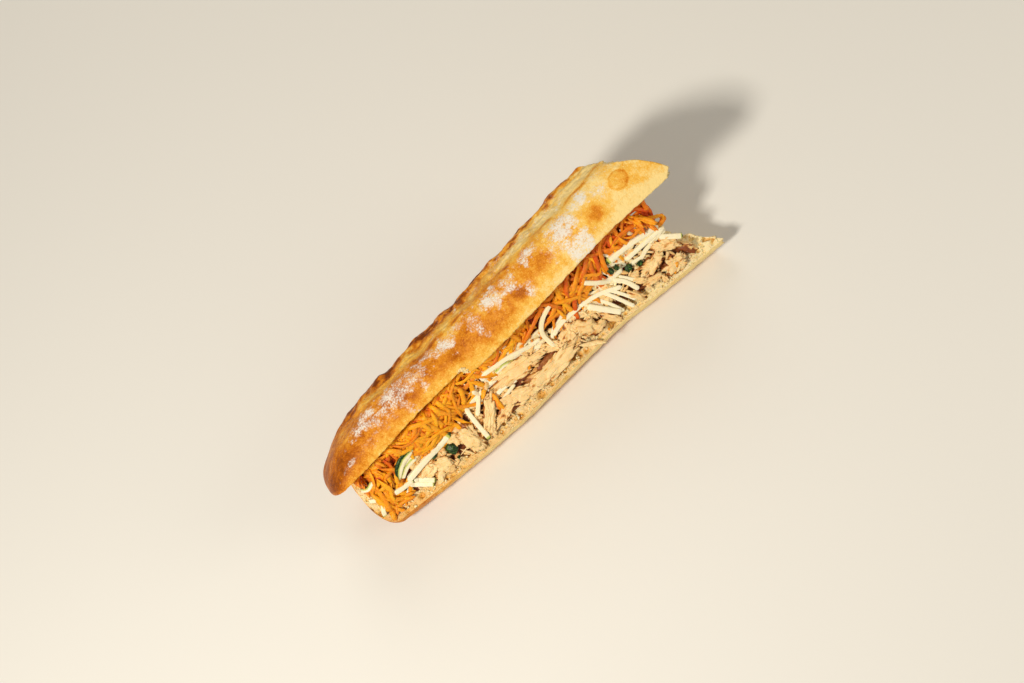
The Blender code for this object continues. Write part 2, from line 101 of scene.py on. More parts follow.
def point_camera():
    """Aim and roll the camera, and give back how far away it stands."""
    camera = stand("camera", bpy.data.cameras.new("camera"))
    back = Vector((0, -cos(SIGHT), sin(SIGHT)))
    across = Vector((1, 0, 0))
    above = back.cross(across)
    right = across * cos(ROLL) - above * sin(ROLL)
    up = across * sin(ROLL) + above * cos(ROLL)
    turn = Matrix((right, up, back)).transposed().to_4x4()
    distance = FRAME_WIDTH * LENS / SENSOR
    turn.translation = placed(AIM + back * distance)
    camera.matrix_world = turn
    camera.data.lens = LENS
    camera.data.clip_start, camera.data.clip_end = NEAR, FAR
    bpy.context.scene.camera = camera
    return distance


print("camera distance in mm:", round(point_camera()))

# %% [markdown]
# ## Floor and light
# Food is lit softly from above and in front, so that light reaches in under the lid and each piece shows a
# bright top and a dark crevice. One warm panel does that, a weaker one behind draws the upper edges, a faint one
# fills the cut end, and the pale floor sends light back up under the crust. The colours are shown as they are,
# without a film curve, because the photograph is bright and saturated.

# %% Lay the floor and hang the lights
FLOOR_SIZE, FLOOR_DROP = 4.0, 0.0002
PALE_PAINT, PAINT_ROUGH = (0.80, 0.79, 0.77, 1), 0.8
WARM = (1.0, 0.93, 0.80)
ROOM_LIGHT, ROOM_STRENGTH = (1, 0.92, 0.79, 1), 0.22
# Each row: name, place and aim in metres, width of the panel and watts
PANELS = (
    ("key_light", (-0.64, -0.38, 1.0), (0, 0, 0.03), 0.19, 12.1),
    ("back_light", (0.3, 0.9, 0.9), (0, 0, 0.03), 0.7, 3.2),
    ("fill_light", (0.8, -0.55, 0.5), (0.1, 0, 0.03), 0.5, 2.4),
)


def lay_floor():
    bm = bmesh.new()
    bmesh.ops.create_grid(bm, x_segments=1, y_segments=1, size=FLOOR_SIZE / 2)
    mesh = bpy.data.meshes.new("floor")
    bm.to_mesh(mesh)
    bm.free()
    made = stand("floor", mesh)
    paint = bpy.data.materials.new("floor_paint")
    paint.use_nodes = True
    inputs = paint.node_tree.nodes["Principled BSDF"].inputs
    inputs["Base Color"].default_value = PALE_PAINT
    inputs["Roughness"].default_value = PAINT_ROUGH
    mesh.materials.append(paint)
    made.location.z = -FLOOR_DROP


def hang_panel(name, place, aim, width, watts):
    light = bpy.data.lights.new(name, "AREA")
    light.size, light.energy, light.color = width, watts, WARM
    made = stand(name, light)
    made.location = place
    made.rotation_euler = (Vector(aim) - Vector(place)).to_track_quat("-Z", "Y").to_euler()


lay_floor()
for row in PANELS:
    hang_panel(*row)
world = bpy.data.worlds.new("studio")
bpy.context.scene.world = world
world.use_nodes = True
world.node_tree.nodes["Background"].inputs["Color"].default_value = ROOM_LIGHT
world.node_tree.nodes["Background"].inputs["Strength"].default_value = ROOM_STRENGTH
bpy.context.scene.view_settings.view_transform = "Standard"

# %% [markdown]
# ## Shader maths as plain expressions
# A crust's colour is arithmetic: so much browning, less where flour lies, more on a blister. Wiring that by hand
# hides the sum. The small class below wraps a node's output so that `bake + 0.2 * grain` adds the Math nodes
# itself, and 1 - mask works too. Every other node comes from one method, which sets the node's own settings
# before its sockets.

# %% A wrapped socket and a recipe for materials
class Flow:
    """A value in a material; arithmetic on it adds Math nodes."""

    def __init__(self, recipe, socket):
        self.recipe, self.socket = recipe, socket

    def math(self, operation, *values):
        return self.recipe.node("ShaderNodeMath", {"operation": operation}, dict(enumerate(values)))

    def __add__(self, other):
        return self.math("ADD", self, other)

    def __sub__(self, other):
        return self.math("SUBTRACT", self, other)

    def __rsub__(self, other):
        return self.math("SUBTRACT", other, self)

    def __mul__(self, other):
        return self.math("MULTIPLY", self, other)

    __radd__ = __add__
    __rmul__ = __mul__

    def clamp(self):
        return self.recipe.node("ShaderNodeClamp", {}, {0: self})

    def smooth(self, low, high):
        """0 below low, 1 above high and an even curve between."""
        settings = {"interpolation_type": "SMOOTHSTEP"}
        return self.recipe.node("ShaderNodeMapRange", settings, {"Value": self, "From Min": low, "From Max": high})


class Recipe:
    """A material that is being built round one Principled shader."""

    def __init__(self, name):
        self.material = bpy.data.materials.new(name)
        self.material.use_nodes = True
        self.tree = self.material.node_tree
        self.shader = self.tree.nodes["Principled BSDF"]

    def node(self, kind, settings, sockets, output=0):
        made = self.tree.nodes.new(kind)
        for name, value in settings.items():
            if name == "stops":
                self.set_stops(made.color_ramp, value)
            else:
                setattr(made, name, value)
        for name, value in sockets.items():
            self.feed(made.inputs[name], value)
        return Flow(self, made.outputs[output])

    def set_stops(self, ramp, stops):
        while len(ramp.elements) < len(stops):
            ramp.elements.new(0.5)
        for element, (place, colour) in zip(ramp.elements, stops):
            element.position = place
            element.color = (*colour, 1)

    def feed(self, socket, value):
        if isinstance(value, Flow):
            self.tree.links.new(value.socket, socket)
        elif isinstance(value, tuple) and len(socket.default_value) == 4:
            socket.default_value = (*value, 1)
        else:
            socket.default_value = value

    def mark(self, name):
        """A number stored on the mesh's points."""
        return self.node("ShaderNodeAttribute", {"attribute_name": name}, {}, "Fac")

    def place(self):
        """Where a point of the surface lies on its own object."""
        return self.node("ShaderNodeTexCoord", {}, {}, "Object")

    def grain(self, size_mm, detail=3.0, rough=0.55):
        """Cloudy noise from 0 to 1 whose blots are about size_mm across."""
        sockets = {"Vector": self.place(), "Scale": 1 / (size_mm * MM), "Detail": detail, "Roughness": rough}
        return self.node("ShaderNodeTexNoise", {}, sockets, "Fac")

    def cells(self, size_mm, feature="F1"):
        """Distance to the nearest of scattered centres about size_mm apart."""
        sockets = {"Vector": self.place(), "Scale": 1 / (size_mm * MM)}
        return self.node("ShaderNodeTexVoronoi", {"feature": feature}, sockets, "Distance")

    def ramp(self, value, stops):
        return self.node("ShaderNodeValToRGB", {"stops": stops}, {0: value}, "Color")

    def mix(self, share, first, second):
        """Colour first, turning to second as share goes to 1."""
        return self.node("ShaderNodeMix", {"data_type": "RGBA"}, {0: share, 6: first, 7: second}, 2)

    def bump(self, height, depth_mm, under=None):
        sockets = {"Height": height, "Distance": depth_mm * MM}
        if under:
            sockets["Normal"] = under
        return self.node("ShaderNodeBump", {}, sockets, "Normal")

    def finish(self, **sockets):
        """Set or feed the shader's own sockets, each named with _ for a space."""
        for name, value in sockets.items():
            self.feed(self.shader.inputs[name.replace("_", " ")], value)
        print(self.material.name, "has", len(self.tree.nodes), "nodes")
        return self.material

# %% [markdown]
# ## The loaf's measures
# A baguette is close to one tube: a rounded cross-section that swells and shrinks a little along its length and
# closes in a blunt heel. Short lists of (place, value) knots say how wide and how thick it is, and a smooth
# curve runs through them. The real loaf was cut lengthwise, so each half is that tube below or above a flat
# face.

# %% Knots along the loaf
BASE_FRONT = (
    (-119, -33.5), (-95, -34.8), (-60, -36.1), (-23, -35.8), (5, -33.3),
    (30, -31.9), (55, -30.4), (85, -32), (134, -32.8),
)
BASE_BACK = ((-120, 20), (110, 27))
BIAS = 0.85
CROSS_POWER = 2.35
HEEL_POWER = 2.4
HEEL_PLAN = 13.0
HEEL_DEPTH = 38.0
CUT_Z = 19.0
CUT_RISE = 0.107
BASE_EXTRA = 2.2

LID_HEEL_X, LID_TIP_X = -146.0, 136.6
LID_BIAS, LID_LEAN = 0.64, 0.53
LID_TILT = radians(47)
HINGE_Y = ((-110, 21), (133, 34))
HINGE_Z = ((-110, 25), (133, 38.5))
LID_HALF = ((-110, 26), (-30, 27.5), (60, 30.5), (120, 31))
LID_THICK = (
    (-146, 18), (-137, 18.6), (-127, 21.8), (-112, 24), (-97, 25.8), (-20, 26.7), (50, 30), (100, 32.3),
)
LID_DROOP = (
    (-146, -1.8), (-110, -2.2), (-78, -4.2), (-47, -4.4), (-38, -4.2), (-32, 0.9), (-8, 1.4), (20, 0.4), (50, -1.2),
    (80, -2.4), (110, -1.2), (130, -0.4),
)


def clamp(value, low=0.0, high=1.0):
    return max(low, min(high, value))


def through(knots, x):
    """The value at x of a smooth curve through (x, value) knots, level beyond its ends."""
    if x <= knots[0][0]:
        return knots[0][1]
    if x >= knots[-1][0]:
        return knots[-1][1]
    i = 0
    while knots[i + 1][0] < x:
        i += 1
    (x0, y0), (x1, y1) = knots[i], knots[i + 1]
    before = knots[max(0, i - 1)]
    after = knots[min(len(knots) - 1, i + 2)]
    run = x1 - x0
    slope0 = (y1 - before[1]) / (x1 - before[0]) * run
    slope1 = (after[1] - y0) / (after[0] - x0) * run
    t = (x - x0) / run
    rise = y1 - y0
    return y0 + t * (slope0 + t * (3 * rise - 2 * slope0 - slope1 + t * (slope0 + slope1 - 2 * rise)))


def line(ends, x):
    (x0, y0), (x1, y1) = ends
    return y0 + (y1 - y0) * (x - x0) / (x1 - x0)


def power(value, exponent):
    return copysign(abs(value) ** exponent, value)


def hump(t):
    return (1 - min(1.0, abs(t)) ** 2) ** 2


def heel_scale(distance, length):
    t = clamp(distance / length)
    return (1 - (1 - t) ** HEEL_POWER) ** (1 / HEEL_POWER)


def lump(x, angle):
    return (
        0.5 * sin(x / 17.0 + 1.3) * sin(angle * 2.0 + 0.4)
        + 0.4 * sin(x / 9.3 + angle * 3.1)
        + 0.3 * sin(x / 5.1 - angle * 4.7 + 2.0)
    )


def ragged(x):
    return 0.5 * sin(x / 3.1) + 0.3 * sin(x / 1.7 + 1.0) + 0.2 * sin(x / 7.3 + 2.2)


def cloud(x, y, z, size):
    """Even noise from -1 to 1 with features about size across."""
    return noise.noise(Vector((x, y, z)) / size)


def cut_z(y):
    return CUT_Z + CUT_RISE * (y + 33.0)


def base_end(y):
    return TIP_X - BIAS * (y + 32.8)


def lid_frame(x):
    """The lid's lip at x, its half width, and the directions along its cut face and out of it."""
    half = through(LID_HALF, x)
    along = Vector((0, cos(LID_TILT), -sin(LID_TILT)))
    out = Vector((0, sin(LID_TILT), cos(LID_TILT)))
    hinge = Vector((x, line(HINGE_Y, x), line(HINGE_Z, x)))
    return hinge - 2 * half * along, half, along, out


def droop(x, across):
    """How far the cut face hangs down towards the lip, which is never quite straight."""
    uneven = 0.55 * cloud(x, 0, 90, 5.0) + 0.35 * cloud(x, 0, 95, 1.7)
    return (through(LID_DROOP, x) + uneven) * (1 - across) ** 2


print("lid lip at mid length:", [round(c) for c in lid_frame(0)[0]])

# %% [markdown]
# ## Crumb and holes
# Inside, bread is foam. Yeast gas leaves holes of every size, from pinpricks to pea-sized caves with thin shiny
# walls. A Voronoi pattern gives scattered centres; everything within a chosen distance of a centre sinks into a
# hole. Two sizes are used together, and slow noise decides how open the crumb is from place to place. Holes over
# a millimetre are real dents in the mesh, so light falls into them, and their depth also paints them darker as
# painted shade. Smaller ones are left to the material, which paints them darker as painted shade.

# %% How deep the crumb is at a place
def pit(x, y, z, spacing, share, depth):
    """Depth of a scattered hole at a place, in millimetres."""
    nearest = noise.voronoi(Vector((x, y, z)) / spacing)[0][0]
    radius = share * (1 + 0.55 * cloud(x, y, z, spacing * 3))
    return depth * (1 - (nearest / radius) ** 2) ** 0.5 if nearest < radius else 0.0


def crumb_depth(x, y, z):
    large = pit(x, y, z, 7.5, 0.34, 2.4)
    small = pit(x + 50, y, z, 3.2, 0.36, 1.0)
    return max(large, small) + 0.25 * cloud(x, y, z, 2.2) + 0.35 * cloud(x, y, z, 9.0)


print("crumb depth at three places:", [round(crumb_depth(x, 0, 0), 2) for x in (0, 3, 6)])

# %% [markdown]
# ## A skin over rings
# Both halves are drawn as rings of points stacked along the loaf, each ring slanting like the end cut. A ring
# point carries its place and four numbers that the material reads: whether it is crumb, how brown it baked, how
# much flour lies there and how deep it is in a hole. The far end is closed with ever smaller rings, so that the
# cut end has crumb as well.

# %% Make a mesh from rings
# hollow is a hole's depth; the crumb material paints deeper places darker as painted shade
MARKS = ("crumb", "bake", "flour", "hollow")
MOSTLY_CRUMB = 0.6
END_RINGS = 26


def end_rings(ring):
    """Smaller and smaller rings that close the cut end with torn crumb."""
    middle = sum((p for p, _ in ring), Vector()) / len(ring)
    count = len(ring)
    normal = Vector()
    for i in range(count):
        normal += (ring[i][0] - middle).cross(ring[(i + 1) % count][0] - middle)
    normal.normalize()
    rings = []
    for step in range(1, END_RINGS + 1):
        share = (1 - step / (END_RINGS + 0.5)) ** 0.9
        made = []
        for p, _ in ring:
            q = middle + (p - middle) * share
            q -= normal * (q - middle).dot(normal) * clamp((1 - share) * 4)
            deep = crumb_depth(q.x * 1.4, q.y, q.z) * clamp((1 - share) * 9)
            torn = 0.9 * cloud(q.x, q.y, q.z, 6.0) * clamp((1 - share) * 6)
            made.append((q - normal * (deep - torn), (1.0, 0.0, 0.0, clamp(deep / 1.6))))
        rings.append(made)
    return rings


def quads(rings, count):
    """For each place between closed rings of count points: two corners on one ring and two on the next."""
    for r in range(rings - 1):
        for k in range(count):
            j = (k + 1) % count
            yield r * count + k, r * count + j, (r + 1) * count + k, (r + 1) * count + j


def end_faces(rings, count):
    return tuple(range(count)), tuple(range((rings - 1) * count, rings * count))


def dress(name, points, faces, marks, materials, replaced):
    """A mesh with its marks and materials that rides on the sandwich."""
    mesh = bpy.data.meshes.new(name)
    mesh.from_pydata([placed(p) for p in points], [], faces)
    for mark, values in marks.items():
        mesh.attributes.new(mark, "FLOAT", "POINT").data.foreach_set("value", values)
    for material in materials:
        mesh.materials.append(material)
    mesh.shade_smooth()
    made = stand(name, mesh)
    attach(made, "root")
    if replaced:
        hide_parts(*replaced)
    print(name, "has", sum(len(f.vertices) - 2 for f in mesh.polygons), "triangles")
    return mesh


def skin(name, rings, materials, slot, *replaced):
    """One closed mesh through rings of (point, marks), its crumb in the second material."""
    count = len(rings[0])
    spots = [spot for ring in rings for spot in ring]
    first, last = end_faces(len(rings), count)
    faces = [(a2, a1, b1, b2) for a1, a2, b1, b2 in quads(len(rings), count)] + [first, last[::-1]]
    marks = {mark: [values[k] for _, values in spots] for k, mark in enumerate(MARKS)}
    mesh = dress(name, [p for p, _ in spots], faces, marks, materials, replaced)
    for face in mesh.polygons:
        if sum(marks["crumb"][v] for v in face.vertices) > MOSTLY_CRUMB * len(face.vertices):
            face.material_index = 1


# %% [markdown]
# ## Crust
# A crust browns where it meets most heat. This loaf is deep golden at its heel, paler and creamier towards the
# cut end, and darkest along the torn ridge where the baker's score opened. Flour from the proving cloth sticks
# in patches and in the pores. The browning is a single number that runs through a ramp of breads from cream to
# dark brown, with cloudy noise added so that no two places match. The flour is another number, broken into
# speckle before it is laid over the colour.

# %% Crust and crumb materials
CRUST_STOPS = (
    (0.0, (0.95, 0.72, 0.30)),
    (0.25, (0.90, 0.51, 0.08)),
    (0.5, (0.74, 0.26, 0.014)),
    (0.72, (0.47, 0.12, 0.004)),
    (1.0, (0.19, 0.04, 0.002)),
)
FLOUR = (0.88, 0.83, 0.76)


def crust_material():
    recipe = Recipe("crust")
    cloudy = recipe.grain(16, 4)
    mottle = recipe.grain(3.4, 4, 0.65)
    fine = recipe.grain(0.9, 3, 0.6)
    bake = recipe.mark("bake") + 0.9 * (cloudy - 0.5) + 0.6 * (mottle - 0.5) + 0.4 * (fine - 0.5)
    bake = bake - 0.22 * recipe.grain(0.8, 2, 0.7).smooth(0.55, 0.7)
    cracks = recipe.cells(1.9, "DISTANCE_TO_EDGE").smooth(0.02, 0.2)
    flour = recipe.mark("flour")
    blots = 1.6 * (recipe.grain(6.5, 5, 0.7) - 0.5) + 2.1 * (recipe.grain(1.1, 3, 0.75) - 0.5)
    dusted = (flour * (0.62 + 0.38 * cracks) + (0.3 + 0.7 * flour) * blots).smooth(0.18, 0.86)
    colour = recipe.mix(dusted * 0.94, recipe.ramp(bake, CRUST_STOPS), FLOUR)
    pores = recipe.cells(1.5).smooth(0.0, 0.35)
    wrinkle = recipe.bump(recipe.grain(4.5, 4, 0.6), 1.0)
    relief = recipe.bump(0.3 * pores + fine + 0.6 * dusted, 0.19, wrinkle)
    return recipe.finish(Base_Color=colour, Roughness=0.42 + 0.4 * dusted, Normal=relief, Specular_IOR_Level=0.12)


CRUMB_STOPS = ((0.0, (1.0, 0.84, 0.50)), (0.5, (0.95, 0.68, 0.25)), (1.0, (0.58, 0.24, 0.03)))
TOAST = (0.84, 0.42, 0.06)


def crumb_material():
    recipe = Recipe("crumb")
    hollow = recipe.mark("hollow")
    bubbles = recipe.cells(1.3).smooth(0.1, 0.42)
    froth = recipe.cells(0.6).smooth(0.05, 0.45)
    # Painted shade: the depth in a hole and the middle of each small pore darken the crumb; the slow grain is its
    # own tone
    tone_and_shade = 0.8 * hollow + 0.22 * (1 - bubbles) + 0.5 * (recipe.grain(6, 3) - 0.42)
    toast = (recipe.mark("bake") + 0.5 * (recipe.grain(3, 4) - 0.5)).clamp()
    colour = recipe.mix(toast, recipe.ramp(tone_and_shade, CRUMB_STOPS), TOAST)
    relief = recipe.bump(bubbles + 0.4 * froth, 0.4)
    return recipe.finish(
        Base_Color=colour, Roughness=0.72 - 0.25 * hollow, Normal=relief,
        Specular_IOR_Level=0.25, Subsurface_Weight=0.15, Subsurface_Radius=(0.003, 0.0018, 0.0009),
    )


CRUST, CRUMB = crust_material(), crumb_material()

# %% [markdown]
# ## The base
# The lower half lies on its flat underside with its cut face up. Its crust shows as a thin golden band in front
# and round the heel, and its crumb as a pale rim in front of the filling and a bare corner at the end cut. The
# rings run once round: back to front over the cut face, then down the crust and back underneath. Points crowd
# towards the front edge, where the photograph looks closest.

# %% Build the base
BASE_RINGS, BASE_CUT_POINTS, BASE_CRUST_POINTS = 380, 96, 64
RING_CROWDING = 1.25
RIM_TOAST = ((-130, 0.8), (-60, 0.55), (30, 0.38), (90, 0.02))
RIM_HOLE_DEPTH = 2.2
# Holes in the rim: place along, place across and radius
RIM_HOLES = (
    (22.6, -28.4, 3.2), (48.5, -27, 3.3), (-2, -31, 1.8), (9, -30.4, 1.6), (34, -29.4, 1.5), (60, -27.6, 1.6),
    (-88, -32.2, 1.9), (-44, -33, 1.7), (76, -28, 1.8), (104, -27, 2), (112, -22, 1.8), (118, -28, 1.6),
)


def base_bake(x, angle, z):
    """Browning of the base's crust: deepest round the heel and low down, pale near the end cut."""
    heel = 0.34 * clamp((-70 - x) / 62) - 0.16 * clamp((x - 10) / 120)
    under = 0.18 * clamp((6 - z) / 6)
    lip = -0.30 * clamp(1.3 - angle / 0.5) * clamp((x + 110) / 60)
    return 0.34 + heel + under + lip


def base_rip(y, z):
    """How far the torn end stands out or back at a place."""
    return 1.6 * ragged(y * 1.9 + z) + 1.8 * cloud(y, z, 70, 2.4)


def base_point(share, k, on_cut):
    """A point of the base's ring; its slant is found in three tries, because x follows from y and y from x."""
    y = 0.0
    for _ in range(3):
        x = HEEL_X + share * (base_end(y) - HEEL_X)
        front, back = through(BASE_FRONT, x), through(BASE_BACK, x)
        half = 0.5 * (back - front) * heel_scale(x - HEEL_X, HEEL_PLAN)
        middle = 0.5 * (back + front)
        if on_cut:
            y = middle + half * (1 - 2 * k)
        else:
            angle = pi * k
            y = middle - (half + lump(x, angle) * sin(angle)) * power(cos(angle), 2 / CROSS_POWER)
    if on_cut:
        edge = min(k, 1 - k) * 2 * half
        deep = crumb_depth(x, y, 0) * clamp(edge / 3)
        x += share**6 * base_rip(y, 0)
        for hx, hy, size in RIM_HOLES:
            deep = max(deep, RIM_HOLE_DEPTH * hump(hypot(x - hx, y - hy) / size))
        toast = clamp(1.25 - edge / 8) * through(RIM_TOAST, x)
        return Vector((x, y, cut_z(y) - deep)), (1.0, toast, 0.0, clamp(deep / 1.7))
    depth = (cut_z(y) + BASE_EXTRA) * heel_scale(x - HEEL_X, HEEL_DEPTH)
    z = max(0.0, cut_z(y) - depth * sin(angle) ** (2 / CROSS_POWER))
    wave = 0.35 * cloud(x, y, z, 5.0) * clamp(z / 3)
    x += share**6 * base_rip(y, z)
    return Vector((x, y - wave, z)), (0.0, base_bake(x, angle, z), 0.12, 0.0)


def base_ring(share):
    places = [(1 - (1 - k / BASE_CUT_POINTS) ** 1.5, True) for k in range(BASE_CUT_POINTS)]
    places += [((k / BASE_CRUST_POINTS) ** 1.25, False) for k in range(BASE_CRUST_POINTS)]
    return [base_point(share, k, on_cut) for k, on_cut in places]


def loaf_rings(ring_at, count):
    """Rings from the heel, where they crowd, to the cut end."""
    rings = [ring_at((i / count) ** RING_CROWDING) for i in range(1, count + 1)]
    return rings + end_rings(rings[-1])


skin("base_bread", loaf_rings(base_ring, BASE_RINGS), (CRUST, CRUMB), "pale_crust", "bread_base")

# %% [markdown]
# ## The lid
# The upper half is the same tube, tipped open by 47 degrees and lifted by the filling. Along its crown runs the
# baker's score: a pale shallow valley with a torn brown ridge beside it, the ear. One round blister rose near
# the cut end, where gas gathered under the skin, and its rim browned. At the end cut a bite of crust has torn
# away. All of these are small hills and valleys pushed out of the same rings, placed by how far along the loaf
# and how far round the crust they lie. Amber patches and flour are placed in the same way, as marks alone.

# %% Score, ear, blister and flour on the lid
SCORE_START, SCORE_RUN, SCORE_ANGLE, SCORE_DEPTH = -124.0, 22.0, 82.0, 1.7
EAR_ANGLE, EAR_HEIGHT = 105.0, 1.6
TORN_ANGLE, TORN_DEPTH = 58.0, 4.6
BLISTER_X, BLISTER_ANGLE, BLISTER_SIZE = 106.5, 33.0, 7.0
DEGREE = 0.55  # millimetres over the crust
# Browning along the lid: place and amount
LID_BROWN = ((-140, 0.80), (-112, 0.64), (-50, 0.56), (10, 0.50), (45, 0.34), (75, 0.23), (120, 0.17))
# Amber patches: place along, angle round, size in millimetres and how much browner
AMBER = (
    (84, 24, 8, 0.24), (42, 30, 9, 0.24), (20, 22, 8, 0.22), (12.5, 46, 4, 0.2), (117, 38, 7, 0.14),
    (-26, 28, 13, 0.12), (-48, 34, 9, 0.14), (-68, 20, 6, 0.12),
)
# Flour: place along, angle round, half length in millimetres, half width in degrees and how thick
FLOUR_PATCHES = (
    (-125, 25, 8, 6, 0.62), (-100, 52, 16, 16, 0.76), (-79, 46, 20, 22, 0.76), (-64, 44, 12, 24, 0.66),
    (-75, 17, 3.5, 16, 0.55), (-60, 22, 4, 14, 0.55), (-90, 24, 12, 10, 0.42), (-110, 20, 10, 10, 0.3),
    (-35, 50, 10, 15, 0.78), (-48, 58, 9, 9, 0.5), (-12, 40, 6, 26, 0.55), (-22, 56, 8, 10, 0.5),
    (4, 48, 10, 19, 0.9), (18, 44, 5.5, 18, 0.75), (26, 20, 4, 14, 0.62), (35, 57, 10, 11, 0.8),
    (63, 46, 12, 22, 1.1), (79, 54, 9, 14, 0.95), (65, 10, 12, 17, 0.9), (58, 24, 8, 10, 0.6),
    (52, 34, 9, 22, 0.5), (94, 42, 6, 18, 0.5), (103, 60, 14, 8, 0.5), (30, 88, 60, 12, 0.36),
    (-10, 122, 60, 16, 0.45), (70, 130, 40, 20, 0.5), (-70, 140, 40, 18, 0.45),
)


def score_fade(x):
    return clamp((x - SCORE_START) / SCORE_RUN)


def lid_relief(x, degrees):
    """Height of the crust above the plain tube, in millimetres."""
    trough = -SCORE_DEPTH * hump((degrees - SCORE_ANGLE) / 19.0) * (0.7 + 0.9 * cloud(x, 0, 31, 17.0))
    ear = EAR_HEIGHT * hump((degrees - EAR_ANGLE) / 13.0) * (1 + 0.8 * cloud(x, degrees / 9, 5, 9.0))
    near_score = hump((degrees - 0.5 * (SCORE_ANGLE + EAR_ANGLE)) / 34.0)
    flakes = 0.9 * cloud(x * 0.22, degrees / 2.2, 0, 2.0) + 0.4 * cloud(x * 0.6, degrees / 2, 7, 1.6)
    skin_waves = 0.5 * cloud(x, degrees / 2, 3, 8.0) + 0.22 * cloud(x, degrees / 2, 9, 2.8)
    return score_fade(x) * (trough + ear + near_score * flakes) + skin_waves


def crust_distance(x, degrees, at_x, at_angle):
    """Distance in millimetres over the crust to a place on it."""
    return hypot(x - at_x, (degrees - at_angle) * DEGREE)


def from_blister(x, degrees):
    return crust_distance(x, degrees, BLISTER_X, BLISTER_ANGLE)


def lid_bake(x, degrees):
    """Browning of the lid's crust: deep at the heel and on the ear, pale at the end and in the score."""
    lip = -0.28 * clamp(1 - degrees / 21) - 0.05 * clamp((degrees - 35) / 20)
    wander = 9 * cloud(x, 0, 20, 14.0)
    streaks = clamp(0.4 + 1.4 * cloud(x / 3.5, degrees / 2.4, 40, 1.6) + 0.9 * cloud(x, degrees / 2, 50, 3.0))
    ear = 0.66 * streaks * hump((degrees - EAR_ANGLE - wander) / 20) * score_fade(x)
    ear += 0.14 * clamp((degrees - 120) / 30)
    edge = 0.36 * clamp(0.2 + 1.8 * cloud(x, 0, 60, 9.0)) * hump((degrees - 69 - wander) / 5) * score_fade(x)
    valley = -0.2 * hump((degrees - SCORE_ANGLE - 2 - wander) / 16) * score_fade(x)
    spots = sum(amount * hump(crust_distance(x, degrees, ax, angle) / size) for ax, angle, size, amount in AMBER)
    away = from_blister(x, degrees) / BLISTER_SIZE
    spots += 0.17 * clamp(8 - 8 * away) + 0.15 * hump((away - 0.86) / 0.16)
    return through(LID_BROWN, x) + lip + ear + edge + valley + spots


def lid_flour(x, degrees):
    """How thick the flour lies: ragged patches with one bare crack, and none on the blister."""
    laid = 0.04 * clamp((x + 118) / 20)
    ragged_edge = 1 + 0.55 * cloud(x, degrees / 3, 70, 4.0) + 0.5 * cloud(x, degrees / 2, 75, 1.9)
    for fx, angle, length, width, amount in FLOUR_PATCHES:
        away = hypot((x - fx) / length, (degrees - angle) / width) * ragged_edge
        laid = max(laid, amount * clamp(1.2 * hump(0.72 * away)))
    laid *= 0.92 + 0.5 * cloud(x, degrees / 2, 77, 5.0)
    crack = 1 - 0.7 * hump((degrees - 48 + 0.3 * (x + 90)) / 3) * hump((x + 92) / 16)
    return laid * crack * clamp((from_blister(x, degrees) - BLISTER_SIZE) / 2)


def blister_height(x, degrees):
    away = from_blister(x, degrees) / BLISTER_SIZE
    return 0.8 * clamp(3 - 3 * away) - 0.35 * hump(away / 0.6)


print("browning at heel, middle and end:", [round(lid_bake(x, 40), 2) for x in (-130, 0, 120)])

# %% Build the lid
LID_RINGS, LID_CUT_POINTS, LID_CRUST_POINTS = 400, 50, 160
LID_BACK_ANGLE = 172.0
LID_HEEL_EXTRA = 7  # how much further the lid's heel takes to reach full thickness
LIP_ROUND, LIP_ROUND_SIZE = 7, 5.5


def lid_tear(degrees):
    """How far back the crust is torn at the cut end."""
    ragged_part = 1.3 * cloud(degrees, 0, 80, 2.5) * clamp((degrees - 40) / 9)
    return TORN_DEPTH * hump((degrees - TORN_ANGLE) / 20.0) + ragged_part


def lid_point(share, across, degrees):
    """A point of the lid's ring: across its cut face, or at an angle round its crust."""
    d, h = 0.0, 0.0
    torn = 0.0 if degrees is None else lid_tear(degrees)
    for _ in range(3):
        end = LID_TIP_X - LID_BIAS * d - LID_LEAN * h - torn
        end = end - LIP_ROUND * hump((abs(d) + abs(h)) / LIP_ROUND_SIZE) + 0.8 * ragged(d * 2.3)
        x = LID_HEEL_X + share * (end - LID_HEEL_X)
        lip, half, along, out = lid_frame(x)
        full = half * heel_scale(x - LID_HEEL_X, HEEL_PLAN)
        thick = through(LID_THICK, x) * heel_scale(x - LID_HEEL_X, HEEL_DEPTH + LID_HEEL_EXTRA)
        if degrees is None:
            d = half + full * (2 * across - 1)
            h = -droop(x, d / (2 * half))
            edge = min(across, 1 - across) * 2 * full
            deep = crumb_depth(x, d, 40) * clamp(edge / 3)
        else:
            angle = radians(degrees)
            relief = lid_relief(x, degrees) + blister_height(x, degrees)
            swell = (lump(x, angle) + relief) * sin(angle)
            d = half - (full + 0.4 * swell) * power(cos(angle), 2 / CROSS_POWER)
            h = (thick + swell) * sin(angle) ** (2 / CROSS_POWER)
            h -= droop(x, clamp(d / (2 * half))) * (1 - sin(angle))
    if degrees is None:
        return lip + d * along + (h + deep) * out, (1.0, 0.0, 0.0, clamp(deep / 1.7))
    return lip + d * along + h * out, (0.0, lid_bake(x, degrees), lid_flour(x, degrees), 0.0)


def lid_ring(share):
    places = [(1 - k / LID_CUT_POINTS, None) for k in range(LID_CUT_POINTS)]
    places += [(None, LID_BACK_ANGLE * k / LID_CRUST_POINTS) for k in range(LID_CRUST_POINTS + 1)]
    return [lid_point(share, across, degrees) for across, degrees in places]


skin("lid_bread", loaf_rings(lid_ring, LID_RINGS), (CRUST, CRUMB), "golden_crust", "bread_lid")

# %% [markdown]
# ## Where the filling lies
# Three layers fill the opening: torn chicken on the crumb, courgette above and behind it, and a thick roll of
# grated carrot under the lid. Each layer is first a smooth height over the base. Loose pieces are then laid on
# these heights. Places are given as the photograph gives them, by how far along the loaf they are and how high
# they look from the camera's side, and a short search finds the depth at which the layer shows there.

